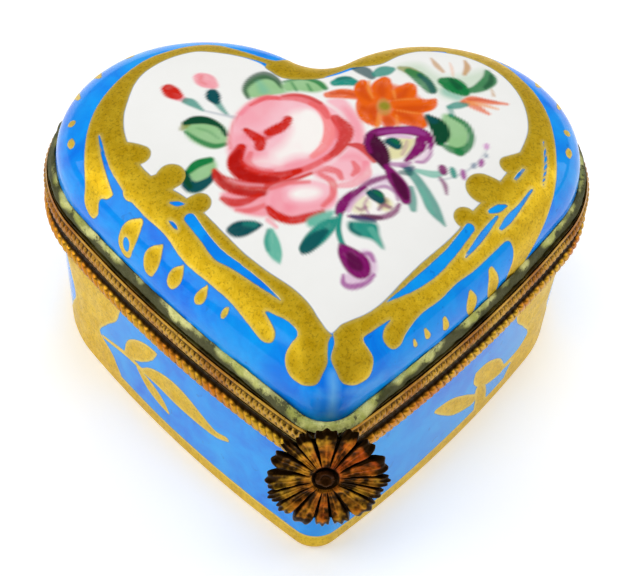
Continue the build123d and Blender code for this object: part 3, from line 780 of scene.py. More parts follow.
def paint_lower_pansy(brush, wash):
    wash(BLOOM_WHITE, [(2.2, -11), (3.4, -10), (5.5, -9.9), (6.3, -11.2), (5.9, -12.6), (4.4, -13.2),
        (2.8, -13.1), (1.8, -12.6)], 0.9)
    brush(LILAC, [(3.4, -9.6, 0.7), (4.6, -8.9, 1.1), (5.6, -8.9, 0.9)], 0.55, 0.6)
    wash(CREAM, oval(2.9, -11.7, 1.9, 2.2, -20), 0.6)
    wash(CREAM, oval(5.1, -11.6, 1.3, 1.5), 0.8)
    brush(PURPLE, [(3.4, -9.8, 0.4), (2.3, -10.7, 0.9), (1.5, -11.8, 1.1), (1.1, -12.7, 0.8)])
    brush(PURPLE, [(1.9, -13.1, 0.3), (3.4, -13.1, 0.6), (4.8, -13, 0.6), (5.8, -12.4, 0.6),
        (6.3, -11.5, 0.35)], 0.85)
    brush(PLUM, [(3, -12.9, 0.3), (3.9, -13.1, 0.6), (4.7, -13.1, 0.3)], 0.7)
    brush(MAUVE, [(3.6, -12.6, 0.2), (3.3, -11.8, 0.25), (3.6, -11, 0.2)], 0.6)
    brush(PURPLE, [(3, -9.9, 0.4), (4, -9.1, 0.6), (5.2, -8.5, 0.5)], 0.85)
    brush(MAUVE, [(4.1, -9.9, 0.3), (5.2, -9.6, 0.45), (6, -10.2, 0.4), (6.2, -11, 0.3)], 0.7)
    wash(BROWN, oval(5, -11.2, 0.7, 0.8), 0.7)
    brush(LILAC, [(1.9, -12.5, 0.4), (2.4, -11.4, 0.5), (3.3, -10.5, 0.4)], 0.7)
    brush(PURPLE, [(2.6, -12.1, 0.2), (3, -12.3, 0.4), (3.4, -12, 0.3)], 0.6)
    brush(PURPLE, [(4.5, -12.2, 0.3), (4.9, -11.7, 0.5), (5.5, -11.9, 0.4)], 0.7)
    brush(DARK_TEAL, [(3.8, -10.4, 0.7), (4.3, -10.6, 1.3), (4.7, -11.2, 0.8)])
    brush(GREEN, [(4.3, -10.3, 0.3), (4.8, -10.6, 0.5)], 0.6)
    brush(PURPLE, [(5.4, -7.3, 0.6), (6, -8.6, 1.3), (6.6, -9.8, 1.4), (6.9, -11, 0.9)])
    brush(PLUM, [(5.9, -8.2, 0.5), (6.5, -9.5, 1), (6.9, -10.7, 0.6)], 0.9)


def paint_ribbon_leaves(brush, wash):
    brush(PALE_TEAL, [(8, -7.6, 0.5), (9.4, -7.9, 0.8), (10.4, -7.6, 0.5)], 0.8)
    brush(TEAL, [(7.2, -7.5, 0.8), (8, -8.7, 0.9), (8.7, -10.2, 1.1), (9.3, -11.7, 1.2),
        (10.2, -13.2, 0.25)], 0.85)
    brush(PALE_TEAL, [(8.3, -9.6, 0.4), (8.8, -11, 0.5), (9.2, -12.1, 0.3)], 0.5)
    brush(TEAL, [(7.4, -9.6, 0.5), (7.4, -10.8, 0.9), (7.5, -11.9, 0.6)], 0.8)
    brush(NAVY, [(6.9, -7.1, 0.7), (7.4, -7.3, 0.9)], 0.7)
    brush(DARK_TEAL, [(6.6, -7.9, 0.5), (7.3, -7.9, 0.7)], 0.7)


def paint_sprig(brush, wash):
    """A trailing sprig of small buds on a fine stem."""
    brush(GREY, [(9.9, -8.5, 0.15), (11.2, -8, 0.15), (12.6, -7, 0.15), (13.8, -5.6, 0.13),
        (14.4, -4.4, 0.1)], 0.55)
    for tone, x, y, width, height, turn in [
            (PURPLE, 10.3, -7.3, 0.8, 1.2, 10), (TEAL, 11.2, -7.5, 0.6, 1.3, 10),
            (MAUVE, 12.1, -7.6, 0.5, 1.2, 5), (GREY, 13.1, -6.5, 0.5, 0.7, -20),
            (MAUVE, 13.8, -6.1, 0.5, 1, -15), (LILAC, 14.4, -4.1, 0.5, 0.8, -10),
            (GREY, 14.3, -5.2, 0.3, 0.5, 0)]:
        wash(tone, oval(x, y, width, height, turn), 0.95, 0.25)
    brush(PURPLE, [(10, -8.2, 0.25), (10.4, -9, 0.45), (10.5, -9.9, 0.25)], 0.8)


def paint_low_leaves(brush, wash):
    wash(PALE_TEAL, [(-1.6, -13.5), (-0.3, -12.7), (0.7, -12.6), (0.3, -13.6), (-0.8, -14.3),
        (-1.5, -14.3)])
    brush(TEAL, [(1.2, -13, 0.4), (1, -14.5, 0.5), (1.2, -15.8, 0.5), (1.6, -16.6, 0.35)])
    brush(TEAL, [(0.9, -13.4, 0.5), (0, -14.4, 1.5), (-1, -15.6, 1.7), (-1.8, -16.6, 1.1)])
    brush(DARK_TEAL, [(-0.1, -14.8, 0.6), (-0.9, -15.5, 1.2), (-1.6, -16.4, 1.3), (-2, -17, 0.5)], 0.9)
    brush(NAVY, [(2.2, -13.1, 0.4), (3.2, -13.4, 0.7), (4.1, -13.5, 0.4)], 0.8)
    wash(TEAL, [(1.9, -13.7), (3.2, -13.6), (4.3, -13.8), (4.5, -15), (4.8, -16.3), (3.8, -15.5),
        (2.6, -15.2), (1.9, -14.6)])
    brush(PALE_TEAL, [(3.8, -14.4, 0.6), (4.3, -15.4, 0.5), (4.6, -16.2, 0.2)], 0.6)
    brush(DARK_TEAL, [(2.1, -13.9, 0.3), (2.1, -14.5, 0.4), (2.8, -15, 0.3)], 0.6)
    brush(DARK_TEAL, [(-8, -14.3, 0.9), (-7.3, -14.3, 1.7), (-6.3, -14.1, 1.2), (-5.5, -14, 0.3)])
    brush(TEAL, [(-6.9, -13.8, 0.4), (-6.1, -13.9, 0.7)], 0.5)
    brush(PALE_TEAL, [(-4.7, -14.7, 0.6), (-4.6, -15.9, 1.3), (-4.3, -17, 1.1), (-4, -17.9, 0.3)])
    brush(TEAL, [(-4.9, -14.6, 0.4), (-5.1, -15.6, 0.4), (-4.9, -16.6, 0.4)], 0.6)


def paint_drooping_bud(brush, wash):
    wash(LILAC, [(2.7, -16.8), (3.7, -16.7), (4.2, -18.2), (3.6, -19.6), (2.2, -20.4), (1.2, -20.1),
        (1.4, -19.2), (2.2, -18.6)], 0.6)
    brush(MAUVE, [(3, -17, 0.3), (3.6, -17, 0.5), (3.9, -17.6, 0.35)], 0.75)
    brush(MAUVE, [(3.9, -19, 0.3), (3.2, -19.9, 0.45), (2, -20.4, 0.6), (1.3, -20.1, 0.45),
        (1.3, -19.3, 0.25)], 0.85)
    brush(PURPLE, [(1.2, -16.3, 0.5), (1.7, -17.1, 1.6), (2.4, -18, 2.3), (2.7, -18.6, 1.9)])
    brush(PLUM, [(1.9, -17.2, 0.6), (2.3, -18, 1.2), (2.6, -18.4, 0.8)], 0.7)


def paint_lid(canvas):
    for gild in (gild_lid_left, gild_lid_right, gild_lid_back, leave_reserve, gild_bumps, scrape_slits,
                 gild_drops):
        gild(canvas)
    for paint in (paint_tip_highlights, paint_left_buds, paint_left_leaves, paint_back_leaves,
                  paint_teal_leaves, paint_sprays, paint_right_petals, paint_orange_flower, paint_rose,
                  paint_lower_petals, paint_right_leaf, paint_ribbon_leaves, paint_upper_pansy,
                  paint_lower_pansy, paint_sprig, paint_low_leaves, paint_drooping_bud):
        paint(canvas.brush, canvas.wash)


def gild_spray(canvas, x, mirror):
    """A sprig of three gold leaves whose stem starts at x."""
    def at(along, z, width):
        return (x + mirror * along, z, width)

    canvas.gild(
        [at(0, 5.6, 0.35), at(3.9, 6.8, 0.6), at(6.8, 6.9, 0.5)],
        [at(4, 7, 0.8), at(5.4, 8.9, 2.3), at(7.1, 10.6, 2), at(8.6, 11.8, 0.4)],
        [at(6.4, 6.9, 0.6), at(8.6, 7.9, 2.2), at(11.4, 8.2, 3.2), at(14.4, 7.7, 2), at(16.4, 7.5, 1),
         at(17.9, 8.1, 0.6)],
        [at(5.6, 6.6, 0.5), at(7.3, 5.5, 1.7), at(8.7, 4.8, 1.5), at(9.9, 4, 0.4)])


def paint_wall(canvas):
    """Gold sprays, end panels and a gold foot line on the cup's wall."""
    foot_line = canvas.y - foot_line_top - 0.12 * ripple(canvas.x, canvas.y * 0, 9, seed=21)
    canvas.gilt = np.minimum(canvas.gilt, foot_line)
    gild_spray(canvas, -28.4, 1)
    canvas.gild(
        [(14.2, 9.2, 0.5), (16, 8, 1.8), (18.2, 6.1, 2.2), (20.6, 4.4, 1.4)],
        [(20.2, 9, 0.5), (21.4, 7.8, 2.6), (23.2, 6.2, 3), (25.2, 4.5, 1.2)],
        [(21.4, 5.6, 1.2), (22, 4, 1.7), (22.4, 1.6, 2)],
        [(25, 4.6, 0.8), (27.2, 4.3, 0.9), (29.4, 4.6, 0.6)])
    near_edge = [(25.2, 17), (25.3, 11.6), (27.4, 8.4), (28.9, 5.9), (27.4, 4.6), (26.6, 3.6), (26.4, 1.2)]
    far_edge = [(35.5, 1.2), (34.8, 4), (33.2, 7), (34.4, 10.5), (36.6, 13), (37, 17)]
    for side, shift in ((-1, 0), (1, 0.6)):
        panel = [(x + shift, z) for x, z in near_edge] + far_edge
        canvas.gild_area([(side * x, z) for x, z in panel])
        gild_spray(canvas, side * 38.5, side)
        gild_spray(canvas, side * 69, -side)


# ---------------------------------------------------------------- porcelain

def make_lid_porcelain():
    scales, spreads = meridian()
    rings = []
    paint = []

    def add_ring(outline, z, paint_points):
        rings.append(at_height(outline, z))
        paint.append(paint_points)

    middle = np.linspace(0.012, shoulder_start, crown_rings)[:-1]
    shoulder = np.linspace(shoulder_start, spreads[-1], shoulder_rings)
    for spread in np.concatenate([middle, shoulder]):
        scale = float(np.interp(spread, spreads, scales))
        outline = dome_contour(scale, lip_out)
        add_ring(outline, paint_z + dome_rise(scale, dome_height), shrink(outline, spread / scale))
    foot = dome_contour(1.0, lip_out)
    for z in np.linspace(paint_z, lid_lip_z, 6)[1:]:
        add_ring(foot, z, shrink(foot, spreads[-1] + (paint_z - z) / paint_reference))
    outside = len(rings)
    nowhere = np.full_like(foot, NOWHERE)
    for z in np.linspace(lid_lip_z, paint_z, 4):
        add_ring(dome_contour(1.0, cavity_out), z, nowhere)
    for angle in np.linspace(0, radians(88), 16)[1:]:
        scale = cos(angle) ** (2 / dome_power)
        rise = (dome_height - wall) * sin(angle) ** (2 / dome_power)
        add_ring(dome_contour(scale, cavity_out), paint_z + rise, nowhere)
    points, faces = skin(rings)
    paint_xy = np.concatenate(paint + [[[0, crown_y]], [[NOWHERE, NOWHERE]]])
    canvas = Canvas(paint_xy[:, 0], paint_xy[:, 1])
    paint_lid(canvas)
    inside = np.ones(len(points), bool)
    inside[:outside * len(foot)] = False
    inside[-2] = False
    canvas.reserve[inside] = -FAR
    piece = new_mesh_object("lid_porcelain", points, faces)
    canvas.give(piece)
    return piece


def make_cup_porcelain():
    levels = []             # (out, scale, z, on the painted outside)
    floor_out = cavity_out - cavity_taper - cavity_rounding
    for scale in np.linspace(0.02, 1, 14)[:-1]:
        levels.append((floor_out, scale, cup_floor_z, False))
    for angle in np.linspace(0, pi / 2, 5):
        levels.append((floor_out + cavity_rounding * sin(angle), 1,
                       cup_floor_z + cavity_rounding * (1 - cos(angle)), False))
    for z in np.linspace(cup_floor_z + cavity_rounding, cup_lip_z, 6)[1:]:
        share = (z - cup_floor_z - cavity_rounding) / (cup_lip_z - cup_floor_z - cavity_rounding)
        levels.append((cavity_out - cavity_taper * (1 - share), 1, z, False))
    for z in np.linspace(cup_lip_z, foot_rounding, wall_rings):
        share = (z - foot_rounding) / (cup_lip_z - foot_rounding)
        levels.append((foot_out + (lip_out - foot_out) * share, 1, z, True))
    for angle in np.linspace(0, pi / 2, 5)[1:]:
        out = foot_out - foot_rounding * (1 - cos(angle))
        levels.append((out, 1, foot_rounding * (1 - sin(angle)), True))
    for z in (0, foot_recess):
        levels.append((foot_out - foot_ring_width, 1, z, False))
    for scale in np.linspace(1, 0.02, 10)[1:]:
        levels.append((foot_out - foot_ring_width, scale, foot_recess, False))
    rings = []
    around = []
    count = 2 * half_outline
    travel = np.arange(count) / count * wall_length
    travel = np.where(travel > wall_length / 2, travel - wall_length, travel)
    for out, scale, z, painted in levels:
        rings.append(at_height(shrink(heart(out)[0], scale), z))
        height = np.full(count, z if painted else NOWHERE)
        around.append(np.column_stack([travel, height]))
    points, faces = skin(rings)
    paint_xy = np.concatenate(around + [[[0, NOWHERE]], [[0, NOWHERE]]])
    canvas = Canvas(paint_xy[:, 0], paint_xy[:, 1])
    paint_wall(canvas)
    plain = paint_xy[:, 1] > FAR
    canvas.gilt[plain] = FAR
    canvas.reserve[plain] = -FAR
    piece = new_mesh_object("cup_porcelain", points, faces)
    canvas.give(piece)
    return piece


# ---------------------------------------------------------------- mouldings and cement

def band_points(half_count):
    """Points, outward normals and travel round the face of a bezel's band."""
    points, normals = heart(band_out, half_count=half_count)
    steps = np.hypot(*np.diff(np.concatenate([points, points[:1]]), axis=0).T)
    return points, normals, np.concatenate([[0], np.cumsum(steps)[:-1]])


# A moulding's pattern gives its relief, 0 to 1, from the travel along it and the height, -1 to 1, on it.

def rounded(share):
    """A rope strand's section: 0 in the groove and 1 at its crest, for any share of a turn."""
    across = 2 * (share - np.floor(share)) - 1
    return np.sqrt(np.clip(1 - across ** 2, 0, 1))


def twisted_rope(travel, height):
    """The cup's moulding: slanted strands over a row of beads, with a hollow above them that is dark as
    painted shade.
    """
    strands = rounded(travel / rope_pitch + height * 0.55)
    beads = rounded(travel / rope_pitch + 0.2)
    relief = 0.36 + 0.64 * strands
    relief = np.where(height < -0.52, 0.15 + 0.85 * beads, relief)
    seam = np.exp(-((height + 0.5) / 0.07) ** 2) + np.exp(-((height - 0.55) / 0.08) ** 2)
    relief = relief * (1 - 0.6 * np.minimum(seam, 1))
    # Above the strands the relief is 0: this sets the strip back, and through the crest it paints the
    # brass there dark as shade.
    return np.where(height > 0.64, 0.0, relief)


def plaited_braid(travel, height):
    """The lid's moulding: a fine plait between two thin rolls."""
    one_way = rounded(travel / braid_pitch + height * 0.75)
    other_way = rounded(travel / braid_pitch - height * 0.75 + 0.5)
    relief = 0.2 + 0.5 * np.maximum(one_way, other_way) ** 2 + 0.3 * one_way * other_way
    seam = np.exp(-((np.abs(height) - 0.62) / 0.07) ** 2)
    relief = relief * (1 - 0.6 * seam)
    return np.where(np.abs(height) > 0.72, 0.85, relief)


def make_moulding(name, node, height, bulge, pattern, half_count, gaps):
    """A patterned strip round a band, half way up its CAD node, parted at the gaps."""
    low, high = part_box(node)
    middle_z = (low.z + high.z) / 2 / MM
    points, normals, travel = band_points(half_count)
    across = np.linspace(-1, 1, moulding_rows)
    bow = np.cos(across * radians(72))
    relief = pattern(travel[:, None], across[None, :])
    wear = ripple(travel[:, None], across[None, :] * 3, 3.1, seed=31) * 0.06
    reach = np.clip(bow * (relief + wear * 0.5), 0.02, 1.0) * bulge
    z = middle_z + across * height / 2
    kept = np.ones(len(points), bool)
    for half_width, front in gaps:
        kept &= (np.abs(points[:, 0]) >= half_width) | ((points[:, 1] < 0) != front)
    sections = []
    crest = []
    for i in range(len(points)):
        face = np.column_stack([points[i] + normals[i] * reach[i][:, None], z])
        inner = points[i] - normals[i] * moulding_depth
        sections.append(np.concatenate([face, [[*inner, z[-1] - 0.03], [*inner, z[0] + 0.03]]]))
        crest.append(np.concatenate([relief[i] + wear[i], [0, 0]]))
    runs = []
    first_gap = int(np.flatnonzero(~kept)[0])
    for step in range(len(points)):
        i = (first_gap + step) % len(points)
        if kept[i]:
            runs[-1].append(i)
        else:
            runs.append([])
    strip_points = np.empty((0, 3))
    strip_faces = []
    strip_crest = []
    for run in runs:
        if len(run) < 3:
            continue
        run_points, run_faces = bar([sections[i] for i in run], closed=False)
        strip_faces += [tuple(v + len(strip_points) for v in face) for face in run_faces]
        strip_points = np.concatenate([strip_points, run_points])
        strip_crest += [crest[i] for i in run]
    piece = new_mesh_object(name, strip_points, strip_faces, crease=70)
    add_values(piece, "crest", np.concatenate(strip_crest))
    return piece


def make_lid_bead():
    """Lumpy cement that fills the channel round the lid and climbs its lip, thickest at the tip."""
    # out, z, how uneven each is, growth of each towards the tip, growth out at the lobes, dirt and painted
    # shade
    profile = [
        (-1.22, 18.2, 0, 0, 0, 0, 0, 0.6),
        (-1.22, 20.75, 0.10, 0.18, 0.1, -0.55, 0, 0.25),
        (-1.04, 20.9, 0.05, 0.22, 0.25, -0.35, 0.08, 0),
        (-0.86, 20.65, 0.07, 0.20, 0.45, -0.15, 0.22, 0.1),
        (-0.70, 20.35, 0.10, 0.14, 0.55, -0.05, 0.28, 0.4),
        (-0.58, 20.06, 0.12, 0.03, 0.62, 0, 0.26, 0.85),
        (-0.60, 19.96, 0.10, 0, 0.55, 0, 0.1, 1),
        (-0.79, 19.94, 0, 0, 0, 0, 0, 1),
        (-0.79, 18.2, 0, 0, 0, 0, 0, 1)]
    points, normals, travel = band_points(bead_steps)
    from_tip = np.minimum(travel, travel[-1] - travel)
    at_tip = np.exp(-(from_tip / 5.2) ** 2)
    at_lobe = np.clip((points[:, 1] + 8) / 9, 0, 1)
    lumps = ripple(points[:, 0], points[:, 1], 1.9, seed=41)
    fine = ripple(points[:, 0], points[:, 1], 0.7, seed=42)
    patches = (0.32 + 0.6 * lumps) * (1 - at_tip) + 0.3 * lumps * at_tip + 0.3 * at_lobe
    rows = []
    grime_and_shade = []
    for row, (out, z, out_wobble, z_wobble, tip_out, tip_z, lobe_out, dirt_and_shade) in enumerate(profile):
        uneven = np.roll(lumps, -17 * row) * 0.7 + np.roll(fine, -29 * row) * 0.5
        reach = out - band_out + out_wobble * uneven + tip_out * at_tip + lobe_out * at_lobe
        height = z + z_wobble * uneven + tip_z * at_tip
        rows.append(np.column_stack([points + normals * reach[:, None], height]))
        # Grime and painted shade: the rows by the brass and down in the channel are dark as painted shade
        # in the gap, less so at the tip where the cement fills it; the random patches are dirt, and the
        # bead is darker towards the lobes.
        grime_and_shade.append(dirt_and_shade * (1 - 0.8 * at_tip) + patches)
    bead_points, faces = bar(np.stack(rows, axis=1), closed=True)
    piece = new_mesh_object("lid_cement_bead", bead_points, faces, crease=80)
    add_values(piece, "grime_and_shade", np.clip(np.stack(grime_and_shade, axis=1), 0, 1).ravel())
    return piece


# ---------------------------------------------------------------- the clasp's flower

rosette_radius = 5.42
rosette_petals = 16
petal_samples = 28       # points along the edge of one petal
groove_width = 0.16      # parts of half a petal's width
vein_width = 0.12
eye_share = 0.2          # the eye's part of the flower's radius
rosette_tilt = radians(16)
rosette_back = np.array([0, -32.8, 17.6])


def on_rosette(local):
    """Points of the rosette's own plane (right, up, out) in the heart's frame."""
    right = np.array([1, 0, 0])
    up = np.array([0, sin(rosette_tilt), cos(rosette_tilt)])
    out = np.array([0, -cos(rosette_tilt), sin(rosette_tilt)])
    return rosette_back + local[:, :1] * right + local[:, 1:2] * up + local[:, 2:] * out


def make_flower():
    """A stamped, dished flower: sixteen troughed petals with pointed ends round a deep eye."""
    around = rosette_petals * petal_samples
    angles = np.linspace(0, 2 * pi, around, endpoint=False)
    turn = angles / (2 * pi) * rosette_petals + 0.16 * np.sin(angles * 5 + 1) + 0.12 * np.sin(angles * 3)
    petal = np.floor(turn + 0.5).astype(int) % rosette_petals
    across = 2 * (turn - np.floor(turn + 0.5))
    draw = np.random.default_rng(7)
    lift = draw.uniform(-0.28, 0.0, rosette_petals)[petal]
    longer = draw.uniform(-0.4, 0.0, rosette_petals)[petal]
    points_count = draw.choice([2.0, 3.0, 3.0], rosette_petals)[petal]
    edge = rosette_radius + longer - 0.75 * np.abs(across) ** 3
    edge = edge - 0.13 * (1 + np.where(points_count > 2.5, -1, 1) * np.cos(points_count * pi * across))
    groove = np.exp(-((1 - np.abs(across)) / groove_width) ** 2)
    trough = 1 - across ** 2
    vein = np.exp(-(across / vein_width) ** 2)
    ray = np.column_stack([np.cos(angles), np.sin(angles)])
    rings = []
    crests = []
    for share in np.concatenate([np.linspace(0.02, 0.24, 12)[:-1], np.linspace(0.24, 1, 36)]):
        radius = share * rosette_radius * 0.99 + share ** 4 * (edge - rosette_radius)
        spread = np.clip((share - eye_share) / 0.25, 0, 1)
        end = np.clip((share - 0.82) / 0.18, 0, 1)
        dish = 0.12 + 0.34 * np.clip((share - 0.17) / 0.08, 0, 1) + 0.42 * share ** 1.4
        beaten = ripple(radius * ray[:, 0], radius * ray[:, 1], 0.55, seed=51)
        height = (dish + spread * (-0.34 * groove - 0.14 * trough + 0.05 * vein)
                  - 0.34 * end ** 2 + lift * spread * share + 0.05 * beaten)
        rings.append(np.column_stack([radius[:, None] * ray, np.maximum(height, 0.05)]))
        # A low crest darkens the brass: patina in the grooves and the eye, and painted shade on the petal
        # ends where they bend back.
        crests.append(np.clip(0.62 - 0.85 * groove * spread - 0.10 * trough + 0.12 * vein
                              - 0.8 * (share < eye_share) - 0.7 * end ** 1.5 + 0.25 * beaten, 0, 1))
    front = rings[-1][:, 2]
    for drop, inset in ((0.14, 0.0), (0.02, 0.05)):
        behind = np.maximum(front - drop * 1.6, drop)
        rings.append(np.column_stack([(edge - inset)[:, None] * ray, behind]))
        crests.append(np.zeros(around))
    for share in np.linspace(0.9, 0.1, 6):
        rings.append(at_height((edge * share)[:, None] * ray, 0.01 + 0.04 * (1 - share)))
        crests.append(np.zeros(around))
    local, faces = skin(rings)
    piece = new_mesh_object("clasp_flower", on_rosette(local), faces, crease=75)
    add_values(piece, "crest", np.concatenate(crests + [[0], [0]]))
    return piece


def make_rivet():
    """The rivet's hammered head, hollow in the middle, and its shank through the flower."""
    angles = np.linspace(0, 2 * pi, 72, endpoint=False)
    ray = np.column_stack([np.cos(angles), np.sin(angles)])
    profile = [(0.1, 0.20), (0.25, 0.22), (0.38, 0.36), (0.5, 0.48), (0.62, 0.50), (0.76, 0.44),
               (0.86, 0.32), (0.88, 0.2), (0.7, 0.1), (0.48, 0.06), (0.46, -0.9), (0.2, -0.95)]
    rings = []
    for radius, height in profile:
        dented = 0.08 * ripple(ray[:, 0] * radius, ray[:, 1] * radius, 0.4, seed=61)
        rings.append(np.column_stack([(radius * (1 + dented))[:, None] * ray, height + dented]))
    local, faces = skin(rings)
    return new_mesh_object("rivet_head", on_rosette(local), faces, crease=70)


# ---------------------------------------------------------------- materials

class Nodes:
    """A short way to write a node material."""

    def __init__(self, name):
        self.material = bpy.data.materials.new(name)
        self.material.use_nodes = True
        self.tree = self.material.node_tree
        self.shader = self.tree.nodes["Principled BSDF"]

    def add(self, kind, settings=None, **sockets):
        node = self.tree.nodes.new(kind)
        for key, value in (settings or {}).items():
            setattr(node, key, value)
        for key, value in sockets.items():
            self.link(value, node.inputs[key.replace("_", " ")])
        return node

    def link(self, value, socket):
        if isinstance(value, bpy.types.NodeSocket):
            self.tree.links.new(value, socket)
        elif socket.type == "RGBA" and len(value) == 3:
            socket.default_value = (*value, 1)
        else:
            socket.default_value = value

    def attribute(self, name):
        return self.add("ShaderNodeAttribute", {"attribute_name": name})

    def noise(self, scale, detail=4.0, roughness=0.55, distortion=0.0):
        place = self.add("ShaderNodeTexCoord").outputs["Object"]
        return self.add("ShaderNodeTexNoise", Vector=place, Scale=scale, Detail=detail,
                        Roughness=roughness, Distortion=distortion).outputs["Fac"]

    def ramp(self, value, low, high, start=0.0, stop=1.0):
        node = self.add("ShaderNodeMapRange", {"interpolation_type": "SMOOTHSTEP"}, Value=value,
                        From_Min=low, From_Max=high, To_Min=start, To_Max=stop)
        return node.outputs["Result"]

    def mix(self, share, first, second, strength=1.0):
        """The first colour where the share is 0, and this much of the second where it is 1."""
        if strength != 1:
            share = self.times(share, strength)
        node = self.add("ShaderNodeMix", {"data_type": "RGBA"})
        for value, socket in ((share, 0), (first, 6), (second, 7)):
            self.link(value, node.inputs[socket])
        return node.outputs[2]

    def math(self, operation, first, second=0.0):
        node = self.add("ShaderNodeMath", {"operation": operation})
        self.link(first, node.inputs[0])
        self.link(second, node.inputs[1])
        return node.outputs[0]

    def plus(self, first, second):
        return self.math("ADD", first, second)

    def times(self, first, second):
        return self.math("MULTIPLY", first, second)

    def bump(self, height, distance, strength=1.0):
        node = self.add("ShaderNodeBump", Height=height, Distance=distance, Strength=strength)
        return node.outputs["Normal"]

    def finish(self, **sockets):
        for key, value in sockets.items():
            self.link(value, self.shader.inputs[key.replace("_", " ")])
        return self.material


def painted_porcelain(name, deep, light, pale):
    """Glazed white porcelain with a mottled blue ground, overglaze enamels and brushed gilding."""
    n = Nodes(name)
    mottle = n.ramp(n.noise(330, 6, 0.62, 0.6), 0.3, 0.72)
    cloud = n.ramp(n.noise(95, 3, 0.5, 0.3), 0.35, 0.7)
    blue = n.mix(mottle, deep, light)
    blue = n.mix(cloud, blue, pale, 0.45)
    speck = n.ramp(n.noise(900, 2, 0.5), 0.68, 0.74)
    blue = n.mix(speck, blue, deep * 0.6, 0.35)
    white = n.mix(n.noise(120, 3), colour(240, 240, 236), colour(250, 250, 248))
    reserve = n.attribute("reserve").outputs["Fac"]
    ground = n.mix(n.ramp(reserve, -0.12, 0.12), white, blue)
    enamel = n.attribute("enamel")
    bare = n.math("SUBTRACT", 1.0, enamel.outputs["Alpha"])
    bare_tone = n.add("ShaderNodeCombineXYZ", X=bare, Y=bare, Z=bare).outputs[0]
    painted = n.add("ShaderNodeVectorMath", {"operation": "MULTIPLY_ADD"})
    for value, socket in zip((ground, bare_tone, enamel.outputs["Color"]), painted.inputs):
        n.link(value, socket)
    gilt_distance = n.attribute("gilt").outputs["Fac"]
    ragged = n.times(n.math("SUBTRACT", n.noise(1500, 3), 0.5), 0.10)
    gilt = n.ramp(n.plus(gilt_distance, ragged), 0.06, -0.06)
    gold = n.mix(n.ramp(n.noise(900, 6, 0.72, 0.3), 0.3, 0.7), colour(212, 170, 6), colour(234, 196, 40))
    grain_dark = n.ramp(n.noise(4200, 2, 0.6), 0.52, 0.66)
    gold = n.mix(grain_dark, gold, colour(140, 100, 8), 0.4)
    worn = n.ramp(n.noise(1300, 3, 0.7), 0.62, 0.75)
    gold = n.mix(worn, gold, colour(150, 96, 20), 0.35)
    gold = n.mix(n.ramp(gilt_distance, -0.42, -0.05), gold, colour(240, 224, 130), 0.35)
    outline = n.ramp(n.math("ABSOLUTE", gilt_distance), 0.14, 0.0)
    ringed = n.mix(outline, painted.outputs[0], colour(40, 90, 60), 0.35)
    glaze_rough = n.ramp(n.noise(240, 3), 0.3, 0.7, 0.05, 0.12)
    gold_rough = n.ramp(n.noise(700, 5, 0.7), 0.3, 0.7, 0.34, 0.5)
    rough = n.add("ShaderNodeMix", {"data_type": "FLOAT"})
    for value, socket in ((gilt, 0), (glaze_rough, 2), (gold_rough, 3)):
        n.link(value, rough.inputs[socket])
    thickness = n.plus(n.times(gilt, 0.6), n.times(enamel.outputs["Alpha"], 0.25))
    grain = n.times(n.times(n.noise(1900, 4, 0.7), gilt), 0.5)
    height = n.plus(n.plus(thickness, grain), n.times(n.noise(160, 2), 0.5))
    return n.finish(Base_Color=n.mix(gilt, ringed, gold), Metallic=n.times(gilt, 0.6),
                    Roughness=rough.outputs[0], Normal=n.bump(height, 0.00006, 0.8),
                    Specular_IOR_Level=0.22, IOR=1.45)


def aged_brass(name, bright, warm, patina, gloss=0.3, crested=False):
    """Brass that is bright where it is rubbed and dark with patina where it isn't; where a mesh's crest is
    set low for shade (the rope's top hollow, the flower's petal ends) the dark is painted shade.
    """
    n = Nodes(name)
    stain = n.noise(420, 7, 0.7, 0.5)
    patches = n.ramp(n.noise(150, 4, 0.6), 0.42, 0.66)
    tone = n.mix(patches, colour(*bright), colour(*warm))
    pits = n.ramp(n.noise(2600, 3, 0.6), 0.58, 0.72)
    if crested:
        uneven = n.times(n.math("SUBTRACT", stain, 0.5), 0.8)
        rubbed_and_unshaded = n.ramp(n.plus(n.attribute("crest").outputs["Fac"], uneven), 0.35, 0.85)
    else:
        rubbed_and_unshaded = n.ramp(stain, 0.32, 0.62)
    tone = n.mix(rubbed_and_unshaded, colour(*patina), tone)
    tone = n.mix(pits, tone, colour(*patina) * 0.6, 0.55)
    rough = n.ramp(n.noise(800, 5, 0.6), 0.3, 0.7, gloss - 0.06, gloss + 0.14)
    relief = n.plus(n.noise(1500, 4, 0.65), n.times(pits, -0.7))
    return n.finish(Base_Color=tone, Metallic=1.0, Roughness=rough, Normal=n.bump(relief, 0.00005, 0.7))


def cement_material(name, with_grime_and_shade):
    """Old yellow-green bedding cement with dark dirt; with the grime and shade attribute it is also
    darkened as painted shade where it meets the brass.
    """
    n = Nodes(name)
    tone = n.mix(n.ramp(n.noise(420, 6, 0.7), 0.35, 0.65), colour(172, 176, 80), colour(232, 230, 150))
    dirt_and_shade = n.ramp(n.noise(900, 5, 0.75), 0.5, 0.66)
    # The attribute's dark is partly painted shade in the gap by the brass and partly dirt.
    if with_grime_and_shade:
        dirt_and_shade = n.ramp(n.plus(n.attribute("grime_and_shade").outputs["Fac"], n.times(dirt_and_shade, 0.4)), 0.2, 0.75)
    tone = n.mix(dirt_and_shade, tone, colour(44, 44, 12), 0.92)
    relief = n.plus(n.noise(700, 6, 0.7), n.noise(2200, 3, 0.6))
    return n.finish(Base_Color=tone, Roughness=0.72, Normal=n.bump(relief, 0.00018))


def floor_material():
    n = Nodes("plain_floor")
    tone = n.mix(n.noise(14, 2), (0.93, 0.93, 0.92), (0.96, 0.96, 0.955))
    return n.finish(Base_Color=tone, Roughness=0.6, Emission_Color=(1, 1, 0.985), Emission_Strength=0.3)


def give_material(piece, material):
    piece.data.materials.clear()
    piece.data.materials.append(material)


def finish_nodes(material, *names):
    for name in names:
        for material_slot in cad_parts[name].material_slots:
            material_slot.material = material


# ---------------------------------------------------------------- the object

